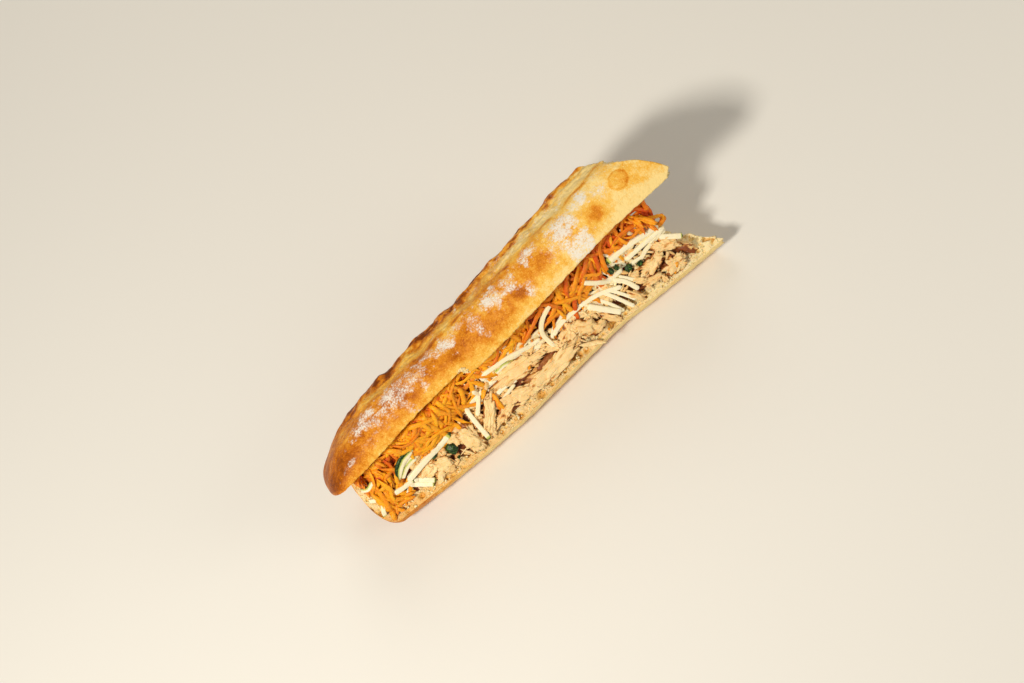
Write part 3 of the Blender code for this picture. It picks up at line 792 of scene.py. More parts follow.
# %% Heights of the layers
GAP = 0.4
CHICKEN_FRONT = 3.8
CHICKEN_THICK = ((-128, 5), (-100, 8.5), (-60, 15), (100, 16))
CHICKEN_MOUND = 25.0
SLAB_THICK = 2.6
VEG_FRONT = ((-128, -25), (-100, -22), (-70, -15.5), (-35, -10.5), (100, -10))
VEG_RISE, CARROT_RISE = 15.0, 21.0
FILL_BACK = ((-126, 11), (-60, 17), (100, 23))
OPEN_ABOVE = 200.0


def ceiling_z(x, y):
    """Height of the lid's cut face over a place, or far up where the lid doesn't cover it."""
    lip, half, _, _ = lid_frame(x)
    if y < lip.y - 2.0:
        return OPEN_ABOVE
    across = clamp((y - lip.y) / (2 * half * cos(LID_TILT)))
    flat = line(HINGE_Z, x) + (line(HINGE_Y, x) - y) * tan(LID_TILT)
    return flat - max(0.0, droop(x, across)) / cos(LID_TILT)


def chicken_top(x, y):
    u = clamp((y - through(BASE_FRONT, x) - CHICKEN_FRONT) / CHICKEN_MOUND)
    back = clamp((y + 4.0) / 28.0)
    thick = through(CHICKEN_THICK, x) * (1 - (1 - u) ** 1.8) * (1 - 0.45 * back)
    floor = cut_z(y) + GAP
    return floor + min(thick, 0.5 * (ceiling_z(x, y) - floor))


def slab_top(x, y):
    low = chicken_top(x, y) + GAP
    return low + min(SLAB_THICK, 0.3 * (ceiling_z(x, y) - low))


def carrot_top(x, y):
    u = clamp((y - through(VEG_FRONT, x)) / VEG_RISE)
    rise = CARROT_RISE * (1 - (1 - u) ** 1.4) * clamp((x - HEEL_X - 5) / 17) ** 0.6
    return min(slab_top(x, y) + GAP + rise, ceiling_z(x, y) - GAP - 0.6)


def outside(x, y):
    """The top of whatever filling shows at a place."""
    return carrot_top(x, y) if y > through(VEG_FRONT, x) else chicken_top(x, y)


def seen_y(x, height):
    """The depth at which the filling shows at a height measured square to the line of sight."""
    low, high = -42.0, lid_frame(x)[0].y + 13
    for _ in range(12):
        y = 0.5 * (low + high)
        if y * sin(SIGHT) + outside(x, y) * cos(SIGHT) < height:
            low = y
        else:
            high = y
    return low


def slope_up(x, y):
    """The direction out of the filling, never more than a steep slope."""
    dx = (outside(x + 1, y) - outside(x - 1, y)) / 2
    dy = (outside(x, y + 1) - outside(x, y - 1)) / 2
    return Vector((-clamp(dx, -1.5, 1.5), -clamp(dy, -1.5, 1.5), 1)).normalized()


def shown(x, seen):
    """The point of the filling's surface seen at a place, and the direction out of it."""
    y = seen_y(x, seen)
    return Vector((x, y, outside(x, y))), slope_up(x, y)


def seen_lip(x):
    lip = lid_frame(x)[0]
    return lip.y * sin(SIGHT) + lip.z * cos(SIGHT)


print("the lip is seen", round(seen_lip(-100), 1), "and", round(seen_lip(100), 1), "mm up")

# %% [markdown]
# ## A heap is one mesh
# A kitchen heap holds hundreds of pieces. They are gathered into one mesh so that the heap moves, hides and
# exports as one thing. Two numbers ride on every point: a tint that differs from piece to piece, darker as painted
# shade for some pieces that lie deeper, and a second one that marks skin on courgette, and creases and undersides
# painted darker as shade on chicken and carrot. Strands are swept along a path, and a strand that would pass
# through the lid is pressed under it.

# %% Heaps and strands
LID_ROOM = 1.4
PAD_LONG, PAD_ACROSS = 150, 34
between = random.uniform


class Heap:
    """Many pieces gathered into one mesh, with a tint and a second number on every point."""

    def __init__(self, name, material):
        self.name, self.material = name, material
        self.points, self.faces, self.tints, self.seconds = [], [], [], []

    def add(self, points, faces, tint, seconds):
        first = len(self.points)
        self.points += points
        self.faces += [tuple(first + v for v in face) for face in faces]
        self.tints += [tint] * len(points)
        self.seconds += seconds

    def make(self, slot, *replaced):
        marks = {"tint": self.tints, "second": self.seconds}
        dress(self.name, self.points, self.faces, marks, [self.material], replaced)


def under_lid(p):
    return Vector((p.x, p.y, min(p.z, ceiling_z(p.x, p.y) - LID_ROOM)))


def smoothed(path, turns):
    for _ in range(turns):
        path = [path[0]] + [0.5 * p + 0.25 * (a + b) for a, p, b in zip(path, path[1:], path[2:])] + [path[-1]]
    return path


def seen_path(places, lift, count, turns, arch=0.0, slope=0.0):
    """Points and outward directions of a strand laid on the filling through (x, seen height) places."""
    steps = [k / (len(places) - 1) for k in range(len(places))]
    along = [(step, place[0]) for step, place in zip(steps, places)]
    height = [(step, place[1]) for step, place in zip(steps, places)]
    path, ups = [], []
    for i in range(count):
        t = i / (count - 1)
        p, up = shown(through(along, t), through(height, t))
        path.append(under_lid(p + up * (lift + slope * t + arch * sin(pi * t))))
        ups.append(up)
    return smoothed(path, turns), smoothed(ups, turns)


def sweep(heap, path, ups, wide, thick, tint, second=None, point=5, twist=0.0, sides=8, rough=0.0, square=0.6):
    """A strand along a path; point says how suddenly its ends close, and a lower square makes it boxier."""
    count = len(path)
    points, seconds = [], []
    for i, p in enumerate(path):
        t = i / (count - 1)
        ahead = (path[min(i + 1, count - 1)] - path[max(i - 1, 0)]).normalized()
        side = Matrix.Rotation(twist * (t - 0.5), 3, ahead) @ ahead.cross(ups[i]).normalized()
        up = side.cross(ahead)
        size = max(0.15, 1 - abs(2 * t - 1) ** point)
        for k in range(sides):
            angle = 2 * pi * (k + 0.5) / sides
            swell = size * (1 + rough * cloud(p.x + 9 * k, p.y, p.z, 2.0))
            across, over = power(cos(angle), square) * swell, power(sin(angle), square) * swell
            points.append(p + side * (0.5 * wide * across) + up * (0.5 * thick * over))
            seconds.append(second(t, across, over) if second else 0.0)
    first, last = end_faces(count, sides)
    faces = [(a1, a2, b2, b1) for a1, a2, b1, b2 in quads(count, sides)] + [first[::-1], last]
    heap.add(points, faces, tint, seconds)


def lay(heap, places, lift, count, turns, wide, thick, tint, arch=0.0, slope=0.0, **shape):
    """Sweep a strand over the filling through the places where it is seen."""
    path, ups = seen_path(places, lift, count, turns, arch, slope)
    sweep(heap, path, ups, wide, thick, tint, **shape)


def crossing(x, seen, lean, long, sway):
    """The ends and middle of a slightly bent strand that runs at an angle across the view."""
    run = Vector((cos(lean), sin(lean))) * (0.5 * long)
    bend = Vector((-run.y, run.x)) * between(-sway, sway)
    middle = Vector((x, seen))
    return middle - run, middle + bend, middle + run


def within(x, seen, ovals):
    """Whether a place is in an oval, given as middle x and seen height, half width and half height."""
    return any(hypot((x - cx) / wide, (seen - cy) / tall) < 1 for cx, cy, wide, tall in ovals)


def pad(name, material, slot, low, top, front, end_gap):
    """The inside of a heap, coloured dark as painted shade: a closed sheet between two heights, ending along the
    slanting cut.
    """
    heap = Heap(name, material)
    first_x = HEEL_X + 9
    for share in (i / PAD_LONG for i in range(PAD_LONG + 1)):
        ring = []
        for k in range(PAD_ACROSS + 1):
            y = 0.0
            for _ in range(3):
                x = first_x + share * (base_end(y) - end_gap - first_x)
                y = front(x) + (through(FILL_BACK, x) - front(x)) * k / PAD_ACROSS
            ring.append((x, y))
        under = [Vector((x, y, low(x, y))) for x, y in ring]
        over = [Vector((x, y, max(top(x, y), low(x, y) + 0.5))) for x, y in ring]
        heap.points += under + over[::-1]
    rings, count = PAD_LONG + 1, 2 * (PAD_ACROSS + 1)
    first, last = end_faces(rings, count)
    heap.faces = [(a1, b1, b2, a2) for a1, a2, b1, b2 in quads(rings, count)] + [first, last[::-1]]
    heap.tints = [cloud(p.x, p.y, p.z, 4.0) for p in heap.points]
    # A full second number darkens the pad further, as painted shade
    heap.seconds = [1.0] * len(heap.points)
    heap.make(slot)


random.seed(41)

# %% [markdown]
# ## Grated carrot
# A grater leaves strips with a flat side and a rough side, two or three millimetres wide. They curl as they dry
# and lie every way. Raw carrot is a little see-through, and light scatters under the surface. A tint per strand
# runs from bright yellow-orange to deep orange. Undersides, ends and low-lying strands are painted deeper orange
# as painted shade, and the almost red gaps of the heap are a dark pad painted as shade.

# %% Carrot material
def carrot_material(name, bright, deep):
    recipe = Recipe(name)
    # The second number is painted shade on undersides and ends; the tint varies per strand and is darker, as painted
    # shade, for strands lying low
    tint = recipe.mark("tint") + 0.6 * recipe.mark("second") + 0.9 * (recipe.grain(2.4, 3) - 0.5)
    fibres = recipe.grain(0.7, 3, 0.6)
    colour = recipe.mix(tint.clamp(), bright, deep)
    return recipe.finish(
        Base_Color=colour, Roughness=0.36 + 0.2 * fibres, Normal=recipe.bump(fibres, 0.2),
        Specular_IOR_Level=0.35, Subsurface_Weight=0.3, Subsurface_Radius=(0.0035, 0.0014, 0.0004),
    )


CARROT = carrot_material("carrot", (1.0, 0.44, 0.010), (0.64, 0.07, 0.001))
# The carrot pad's near-black red is painted shade for the gaps between strands
CARROT_SHADE_PAD = carrot_material("carrot_painted_shade", (0.42, 0.05, 0.002), (0.16, 0.010, 0.001))

# %% Grate the carrot
# How low the carrot hangs: place along and seen height
CARROT_LOW = (
    (-132, -17), (-118, -18), (-110, -11), (-103, -1), (-92, 1), (-84, -1), (-72, 0), (-62, 0), (-56, 7), (-50, 5),
    (-44, 8), (-36, 11), (-20, 13), (-8, 12), (4, 9), (14, 7), (30, 6), (45, 4), (52, 3), (60, 9), (70, 13),
    (100, 14), (116, 12),
)
# Places kept clear of loose strands
KEPT_CLEAR = (
    (-100.5, 3, 10, 6), (-87, -4, 24, 4), (-56, 5.5, 5, 5.5), (-2, 8, 16, 3), (88, 12, 20, 3), (18, 10, 4, 6),
)


def painted_underside_shade(t, across, over):
    """Strands are painted deeper orange below and towards their ends, as painted shade."""
    return clamp(-over) + 0.4 * clamp(abs(2 * t - 1) - 0.6)


GRATED = {"second": painted_underside_shade, "point": 8, "sides": 6, "square": 0.45}


def shred(places, wide, lift, arch, tint, count=14):
    lay(carrots, places, lift, count, 3, wide, 0.3 * wide, tint, arch, twist=between(-2.2, 2.2), rough=0.5, **GRATED)


def loose_shred(x, seen, lean, long):
    """A curled strand with its middle at a seen place, running at an angle across the view."""
    curl = between(-0.34, 0.34) * long
    run = Vector((cos(lean), sin(lean))) * (0.5 * long)
    side = Vector((-sin(lean), cos(lean))) * curl
    middle = Vector((x, seen))
    near, far = middle - 0.4 * run + side * 0.6, middle + 0.4 * run + side * between(0.2, 1)
    lift = between(-2.2, 1.4)
    # Low-lying strands get a deeper tint as painted shade; strands further right are deeper orange as well
    tint = clamp(random.gauss(0.18, 0.22) + 0.35 * clamp((x + 10) / 70) + 0.4 * clamp(-0.6 * lift))
    shred((middle - run, near, far, middle + run), between(1.7, 3.4), lift, between(-0.3, 2.6), tint)


# Middles lie within START, and some only in the left part; strands stay within ROOM; leans in radians
LOOSE, BACK_ROW, END_ROW, HEEL_ROW = 600, 150, 110, 110
SHRED_LEANS = (0.2, -0.5, 0.7, 1.2, -1.1)
START, LEFT_PART, EVERYWHERE = (-128, 112), (-128, -48), 0.62
ROOM, LOWEST = (-131, 113), -21
HEEL_BEND = -108
carrots = Heap("carrot_shreds", CARROT)
for _ in range(LOOSE):
    x = between(*START) if random.random() < EVERYWHERE else between(*LEFT_PART)
    low, high = through(CARROT_LOW, x), seen_lip(x) + 5
    seen = between(low + 1, max(low + 3, high))
    lean = random.choice(SHRED_LEANS) + random.gauss(0, 0.4)
    long = between(11, 30)
    if x < HEEL_BEND:
        lean, long = random.gauss(1.7, 0.7), between(7, 15)
    if within(x, seen, KEPT_CLEAR):
        continue
    half_run, half_rise = 0.5 * long * abs(cos(lean)), 0.5 * long * abs(sin(lean))
    if x - half_run > ROOM[0] and x + half_run < ROOM[1] and seen - half_rise > LOWEST:
        loose_shred(x, seen, lean, long)

HANGING = (
    ((-122, 4), (-124, -6), (-127, -13), (-127, -18)), ((-118, 2), (-121, -8), (-122, -14), (-125, -19)),
    ((-114, 0), (-119, -5), (-121, -12), (-119, -17)), ((-124, -2), (-120, -9), (-112, -13), (-108, -15)),
    ((-125, -9), (-121, -14), (-115, -15), (-109, -17)), ((-127, 2), (-126, -4), (-125, -10), (-123, -16)),
    ((-88, 1), (-80, 4.5), (-70, 3.5), (-61, -1)), ((-92, 2), (-82, 1), (-74, 4), (-63, 2)),
    ((-91, -3), (-88, -5), (-85, -4), (-86, 0)), ((-34, 1), (-33, -3), (-34, -8), (-33, -13)),
    ((-35, -2), (-34, -5), (-35, -8), (-35, -11)), ((-38, 14), (-34, 8), (-37, 3), (-40, 1)),
    ((29.5, 16), (30, 10), (30.5, 6), (30, 3)), ((38, 19), (43, 12), (48, 6), (53, 0)),
    ((46, 11), (50, 6), (52, 2), (52.5, -2)), ((33, 12), (40, 15), (47, 14), (53, 8)),
    ((50, 19), (57, 17), (63, 13), (66, 17)), ((76, 20), (81, 18), (84, 15), (87, 13)),
    ((103, 21), (109, 18), (115, 14.5), (110, 11.5)), ((104, 13), (110, 11.6), (115, 12.6), (112, 16)),
    ((96, 19), (98, 16), (99, 14), (103, 13)), ((87, 20), (92, 17), (99, 18), (106, 21)),
    ((58, 20), (52, 15), (46, 12), (42, 6)), ((-66, 16), (-60, 12), (-62, 7), (-66, 3)),
)
for places in HANGING:
    shred(places, between(2.2, 3.0), 1.6, between(0.4, 1.6), clamp(random.gauss(0.25, 0.2)), 20)


def tucked_shred(share, x, y, lean, long):
    """A strand at the back or an end of the roll, share of the way up to the lid, for the other sides to see."""
    path, ups = [], []
    for i in range(12):
        t = i / 11 - 0.5
        q = Vector((x + long * t * cos(lean), y + long * t * sin(lean) + 3 * cos(3 * t)))
        floor = slab_top(q.x, q.y)
        roof = min(ceiling_z(q.x, q.y) - 1.2, floor + 20)
        path.append(Vector((q.x, q.y, floor + (roof - floor) * share + sin(6 * t + x))))
        ups.append(Vector((0, 0.4, 1)).normalized())
    tint = clamp(random.gauss(0.35, 0.25))
    sweep(carrots, smoothed(path, 2), ups, 2.6, 0.9, tint, twist=1.8, rough=0.4, **GRATED)


for _ in range(BACK_ROW):
    x, share = between(-120, 84), between(0.0, 1.0)
    tucked_shred(share, x, through(FILL_BACK, x) + between(-1.0, 1.4), random.gauss(0, 0.3), between(12, 26))
for _ in range(END_ROW):
    y, share = between(-9, 23), between(0.0, 1.0)
    tucked_shred(share, base_end(y) - between(9, 13), y, random.gauss(-0.9, 0.7), between(7, 14))
for _ in range(HEEL_ROW):
    y, share = between(-11, 12), between(-0.25, 1.0)
    tucked_shred(share, HEEL_X + between(6.5, 10), y, random.gauss(1.57, 0.5), between(6, 12))
carrots.make("carrot", "carrot")

# %% [markdown]
# ## Courgette sticks
# Courgette is cut into matchsticks, cream inside and nearly black-green on the skin. Most sticks are flesh only,
# and a few carry a short dark end where the blade met the skin, with a thin yellow-green zone behind it. The
# large sticks are placed one by one where they lie in the photograph. Thinner ones fill the shadow between them.

# %% Courgette material
def courgette_material():
    recipe = Recipe("courgette")
    tint = recipe.mark("tint") + 0.5 * (recipe.grain(3.0, 3) - 0.5)
    flesh = recipe.mix(tint.clamp(), (0.98, 0.90, 0.66), (0.92, 0.74, 0.40))
    skin = recipe.mark("second") + 0.25 * (recipe.grain(1.1, 3) - 0.5)
    rind = recipe.mix(skin.smooth(0.18, 0.42), flesh, (0.56, 0.60, 0.14))
    speckle = recipe.mix(recipe.grain(0.8, 2).smooth(0.52, 0.66), (0.006, 0.028, 0.003), (0.08, 0.19, 0.03))
    colour = recipe.mix(skin.smooth(0.48, 0.66), rind, speckle)
    fibres = recipe.grain(0.9, 3, 0.6)
    return recipe.finish(
        Base_Color=colour, Roughness=0.34 + 0.2 * fibres, Normal=recipe.bump(fibres, 0.15),
        Specular_IOR_Level=0.35, Subsurface_Weight=0.2, Subsurface_Radius=(0.003, 0.003, 0.0015),
    )


COURGETTE = courgette_material()

# %% Cut the courgette
# Each row: places from end to end, width, lift, and where the skin is (-1 first end, 1 last end, 2 along a side)
STICKS = (
    (((-106.4, -6), (-88, -3.2), (-67.2, -1.4)), 4, 1.6, 1),
    (((-117.6, -6.6), (-110, -7.6), (-103.5, -7.4)), 3.3, 1, 1),
    (((-107.5, -8.6), (-101.5, -14), (-95.5, -18.9)), 2.9, 1.2, 1),
    (((-103.5, -8.2), (-98, -13), (-93.3, -17.4)), 3.1, 1.8, 1),
    (((-116, -13.8), (-112, -12.2), (-107.5, -10.8)), 3.3, 1, 1),
    (((-131.5, -1.2), (-128.5, -2.6), (-125.8, -4.8)), 2.8, 1, -1),
    (((-131, -12.4), (-128.4, -9.2), (-125.6, -5.4)), 2.8, 1.2, -1),
    (((-131, 7), (-127, 5), (-122, 7)), 2.6, 1, 2),
    (((-51.2, 5.4), (-52, -6), (-52.3, -19.8)), 3, 2, 1),
    (((-48.8, -4.6), (-44.5, -0.4), (-40.4, 4.2), (-41.5, 9.5)), 2.7, 1.8, 0),
    (((-50, 4), (-34, 5.8), (-17.5, 4.4)), 3, 1.6, -1),
    (((-31, 12.8), (-14, 11.2), (1, 8), (11, 6.6)), 3, 1.8, 0),
    (((-23.5, 8.2), (-17, 8.6), (-10.5, 7.6)), 2.8, 1.2, 2),
    (((-31, -2.4), (-24, -2), (-16, -3.4)), 2.8, 1.4, 0),
    (((-30.5, -6.9), (-26, -6), (-19, -4.6)), 2.2, 1.6, 0),
    (((28.5, 18.5), (19.5, 15.2), (13.2, 8.2), (14.2, -3.6)), 2.9, 2.4, 0),
    (((17.6, 2), (27, 4.6), (43, 4.8)), 3, 1.6, 0),
    (((41, 5), (55, 3), (69, -2.6)), 2.9, 1.8, 0),
    (((44.6, 2.2), (52, -6.2), (58.8, -13.8)), 3.8, 2, 0),
    (((66.8, 4), (72.4, -1.8), (75.8, -10.4)), 3.1, 1.8, 0),
    (((51.4, 15.8), (58.5, 9.8), (66.5, 6), (76, 6.2)), 3.1, 2, 0),
    (((69.9, 15.2), (88, 14.6), (109.2, 11.6)), 3.7, 2.2, -1),
    (((80.2, 8.6), (95, 8.8), (110.8, 8.8)), 3.1, 1.6, 0),
    (((87.8, 2.2), (98, 5.8), (111.5, 9.2)), 2.8, 1.8, 0),
    (((104.6, 6), (110, 1.4), (116.8, -3.4)), 3.5, 2.2, 1),
    (((57, 3), (62, -6), (67.2, -17.6)), 2.5, 1.4, 0),
    (((53, 0), (57, -7), (60.5, -15)), 2.2, 1.2, 0),
    (((61, 1), (66, -6), (70.5, -14)), 2.2, 1.4, 0),
    (((71, 3), (76, -3), (80, -9)), 2.4, 1, 0),
    (((-108, -3), (-101, 0.6), (-93, 1.6)), 3.6, 0.6, 2),
    (((-104, 2.6), (-98, 3.6), (-92, 4)), 3, 0.6, 0),
    (((-12, 9.5), (0, 5.5), (10, 1.5)), 2.4, 1, 0),
    (((32, 9), (22, 6), (16, 1)), 2.2, 1, 0),
    (((78, 3.4), (84, 3.6), (90, 2.6)), 2.4, 1.2, 0),
)
# Each row: place, size along the picture and size up it
SKIN_CUBES = (
    ((-73.2, -9.2), 6.2, 7.6), ((-84.4, -5.8), 4, 2.8), ((69.3, 9.8), 3.4, 4.4), ((79.2, 3.2), 4.6, 4.2),
    ((86.2, 0.8), 4.2, 2.8), ((-73.5, -15.6), 2, 1.6), ((73.6, 9), 3, 3.4),
)
CRESCENT = ((-109.6, -2.2), (-106, 2.6), (-100.5, 5.8), (-96, 6.6), (-91.4, 6.4))


def skin_mark(where):
    """How much of the green skin is on a place of a stick."""
    if where == 2:
        return lambda t, across, over: clamp(0.2 - 0.35 * across)
    if where:
        return lambda t, across, over: clamp(1.15 - 9 * (1 - t if where > 0 else t)) * 0.8
    return None


def crescent_mark(t, across, over):
    """The crescent is green along its outer side."""
    return 0.75 - 0.9 * (across + 0.45)


THIN_STICKS = 110
STICK_LEANS = (-0.1, 0.3, -0.8, -1.1)
SQUARE_CUT = {"point": 30, "sides": 12, "rough": 0.08, "square": 0.38}
THIN_CUT = {"point": 14, "twist": 0.6, "sides": 8, "rough": 0.2, "square": 0.42}
courgettes = Heap("courgette_sticks", COURGETTE)
for places, wide, lift, where in STICKS:
    tint = clamp(random.gauss(0.12, 0.15))
    lay(courgettes, places, lift, 22, 6, wide, 0.72 * wide, tint, second=skin_mark(where), **SQUARE_CUT)
lay(courgettes, CRESCENT, 2.0, 26, 2, 5.6, 2.2, 0.2, second=crescent_mark, point=4, sides=16)
for _ in range(THIN_STICKS):
    x = between(-45, 105)
    seen = between(through(CARROT_LOW, x) - 8, through(CARROT_LOW, x) + 2)
    lean, long = random.choice(STICK_LEANS) + random.gauss(0, 0.25), between(8, 22)
    places = crossing(x, seen, lean, long, 0.2)
    wide = between(1.4, 2.6)
    lay(courgettes, places, 0.3, 14, 4, wide, 0.7 * wide, clamp(random.gauss(0.45, 0.3)), **THIN_CUT)

# %% [markdown]
# ## Torn pieces
# Chicken doesn't break like clay. It pulls apart along its fibres, so a torn piece is a ball stretched along one
# direction, ridged lengthwise and broken off unevenly at its ends. The same ball, squarer and smoother, makes
# the small cubes of courgette skin, and a crumbly one makes bread crumbs.

# %% Lumps that are torn along their fibres
def ball(divisions):
    bm = bmesh.new()
    bmesh.ops.create_icosphere(bm, subdivisions=divisions, radius=1.0)
    points = [v.co.copy() for v in bm.verts]
    faces = [tuple(v.index for v in f.verts) for f in bm.faces]
    bm.free()
    return points, faces


BALLS = {divisions: ball(divisions) for divisions in (2, 3, 4, 5)}


def torn(heap, place, up, lean, size, tint, divisions, fibre=0.5, rough=0.25, second=None):
    """A lump of a given (length, width, thickness) with its length leaning across the view."""
    long, wide, thick = size
    ahead = Vector((cos(lean), sin(lean) * sin(SIGHT), sin(lean) * cos(SIGHT)))
    side = up.cross(ahead).normalized()
    ahead = side.cross(up)
    key = Vector((between(0, 90), between(0, 90), between(0, 90)))
    units, faces = BALLS[divisions]
    points, seconds = [], []
    for unit in units:
        swell = 1 + rough * noise.noise(unit * 1.7 + key) + 0.7 * rough * noise.noise(unit * 4.1 + key)
        edge = 1 - abs(unit.z)
        swell += 0.7 * edge * rough * noise.noise(unit * 9.0 + key)
        boxed = Vector([power(c, 0.8) for c in unit])
        p = Vector((boxed.x * long, boxed.y * wide, boxed.z * thick)) * (0.5 * swell)
        strands = noise.noise(Vector((p.x / 8, p.y / 1.5, p.z / 1.5)) + key)
        fine = noise.noise(Vector((p.x / 3, p.y / 0.6, p.z / 0.6)) - key)
        flakes = noise.noise(Vector((p.x / 3.4, p.y / 2.6, p.z / 2.6)) + 2 * key)
        crease = 0.6 * strands + 0.3 * fine + 0.9 * flakes
        p += unit * (fibre * crease * (0.5 + 0.5 * edge))
        points.append(place + ahead * p.x + side * p.y + up * p.z)
        # When no second number is given it is painted shade: the underside and flanks of a lump and the dents of its
        # creases come out darker
        under = 0.9 * clamp(0.35 - unit.z) + 0.4 * clamp(abs(unit.y) - 0.6)
        seconds.append(clamp(0.3 - 0.42 * crease + under) if second is None else second)
    heap.add(points, faces, tint, seconds)


def drop(heap, seen, lift, *shape):
    """A torn lump where it is seen on the filling, lifted a little out of it."""
    place, up = shown(*seen)
    torn(heap, place + up * lift, up, *shape)


# %% Finish the courgette
END_STICKS = 34
END_CUT = {"point": 20, "sides": 8, "rough": 0.1, "square": 0.4}
for _ in range(END_STICKS):
    y = between(-14, 23)
    x, lean = base_end(y) - between(5, 10), random.gauss(0.1, 0.3)
    long, share = between(9, 18), between(-0.2, 1.0)
    path = []
    for t in (i / 9 for i in range(10)):
        q = Vector((x - long * t * cos(lean), y - long * t * sin(lean)))
        path.append(Vector((q.x, q.y, chicken_top(q.x, q.y) + 1.2 + 2.4 * share)))
    wide = between(2.2, 3.6)
    sweep(courgettes, path, [Vector((0, 0, 1))] * 10, wide, 0.7 * wide, between(0, 0.5), **END_CUT)
for places, long, wide in SKIN_CUBES:
    drop(courgettes, places, 2.4, 0.3, (long, wide, 3.4), 0.1, 3, 0.15, 0.3, 0.9)
courgettes.make("courgette", "courgette")

# %% [markdown]
# ## Chicken
# The meat is pale beige where it was cut and tan where it browned; the near brick-brown in the cracks is painted
# shade. Broad torn slabs are placed one by one, as the photograph shows them. Round them come scraps of every size,
# fine fibres and crumbs, and a dark inside, painted as shade, shows wherever these leave a gap. The crease number
# that tore the surface also darkens it as painted shade, together with the underside and flanks of each piece.

# %% Chicken material
# The darkest stops serve as painted shade in creases, under pieces and in the gaps
CHICKEN_STOPS = (
    (0.0, (0.95, 0.71, 0.36)),
    (0.3, (0.90, 0.58, 0.23)),
    (0.58, (0.66, 0.28, 0.055)),
    (0.85, (0.26, 0.06, 0.008)),
)


def chicken_material(name, base):
    recipe = Recipe(name)
    # The second number is painted shade: it darkens creases and the undersides of pieces
    crease = recipe.mark("second").smooth(0.35, 0.74)
    stain = recipe.grain(6, 3)
    tone_and_shade = base + 0.5 * recipe.mark("tint") + 0.72 * crease + 0.5 * (stain - 0.5)
    fibres = recipe.grain(1.0, 3, 0.6)
    tone_and_shade = tone_and_shade + 0.2 * (fibres - 0.5) + 0.3 * (recipe.grain(2.6, 3, 0.6) - 0.5)
    return recipe.finish(
        Base_Color=recipe.ramp(tone_and_shade, CHICKEN_STOPS), Roughness=0.34 + 0.25 * fibres, Normal=recipe.bump(fibres, 0.2),
        Subsurface_Weight=0.18, Subsurface_Radius=(0.004, 0.002, 0.001),
    )


# The pad's higher base darkens it as painted shade for the gaps
CHICKEN, CHICKEN_SHADE_PAD = chicken_material("chicken", 0.03), chicken_material("chicken_painted_shade", 0.5)

# %% Tear the chicken
# Each row: place, length, width, thickness, lean in degrees, tint, lift
SLABS = (
    ((4, -11.8), 40, 11, 5, 6, 0.10, 1.6),
    ((-20, -11.5), 22, 8, 4.5, -16, 0.16, 1.2),
    ((-13, 1), 31, 9, 4.5, -7, 0.14, 1.4),
    ((-60.4, -12), 10.4, 16.5, 4.6, 4, 0.06, 1.8),
    ((-41.5, -7), 20, 6.6, 4, 50, 0.12, 1.6),
    ((-47, -14), 11, 6, 4, 68, 0.2, 1),
    ((-35, -14), 14, 6, 4, 20, 0.3, 0.6),
    ((-93, -9.5), 13, 9, 4, 10, 0.1, 0.8),
    ((-84, -13), 12, 7.5, 4, -24, 0.16, 1),
    ((-69, -6), 9, 7, 4, -40, 0.3, 0.4),
    ((26, -2.6), 13, 8, 5, 14, 0.25, 1),
    ((35, -5.5), 12, 9, 5, -30, 0.22, 1.2),
    ((14, -3), 13, 6.5, 4, -34, 0.2, 0.8),
    ((40.5, -11), 12, 7, 4.5, -20, 0.25, 1),
    ((91.5, -4.2), 15, 7.6, 4.6, 8, 0.08, 2),
    ((105, -1), 14, 7, 4, -28, 0.12, 1.6),
    ((102, -13.6), 13.5, 9, 4.6, 8, 0.12, 1.2),
    ((86, -11.6), 12, 5, 4, -10, 0.35, 1),
    ((80, -7), 9, 4, 3.6, -40, 0.3, 0.8),
    ((52, -12.5), 12, 4.5, 3.6, -56, 0.3, 0.8),
    ((72, -12), 12, 4, 3.4, -62, 0.25, 0.8),
    ((92, -16), 6, 3.4, 3, 84, 0.35, 1),
    ((2, 5.5), 12, 6, 4, 16, 0.35, 0.2),
    ((-30, 7), 12, 5, 3.6, -10, 0.3, 0),
)
LONG_SLAB = 12
chickens = Heap("chicken_pieces", CHICKEN)
for places, long, wide, thick, lean, tint, lift in SLABS:
    divisions = 5 if long > LONG_SLAB else 4
    drop(chickens, places, lift, radians(lean), (long, wide, thick), tint, divisions, 0.22, 0.6)


def bare_rim(x):
    """How much further back the meat lies where the rim of crumb is wide."""
    return 2.6 * hump((x - 44) / 42)


def chicken_low(x):
    """How low the chicken is seen: the rim of crumb in front of it stays bare."""
    y = through(BASE_FRONT, x) + CHICKEN_FRONT + 2.5 + bare_rim(x)
    return y * sin(SIGHT) + cut_z(y) * cos(SIGHT)


# Gaps left open between the pieces, where the dark pad shows as painted shade
DARK_GAPS = (
    (-56, 5.5, 6, 6), (-14, -4.6, 9, 1.8), (-3, 3.4, 5, 2.5), (9, -5.6, 8, 2.6), (-74, -6.4, 3, 3), (-68, -12, 4, 3),
    (-31, -10, 8, 2), (30, 2, 6, 2), (78, -9.5, 4, 3), (62, -9, 3, 5), (99, -8, 5, 1.6), (46, -7, 3, 5),
    (34, 3.4, 5, 1.8), (39, -8.6, 3, 1.8), (68, -13, 3, 2.4), (-47, -8, 2, 4), (86, -9, 4, 1.6), (16, -7.4, 5, 1.6),
)


def on_slab(x, seen):
    for (cx, cy), long, wide, _, lean, _, _ in SLABS:
        turn = radians(lean)
        across = (x - cx) * cos(turn) + (seen - cy) * sin(turn)
        over = (seen - cy) * cos(turn) - (x - cx) * sin(turn)
        if hypot(across / (0.5 * long), over / (0.5 * wide)) < 1:
            return True
    return False


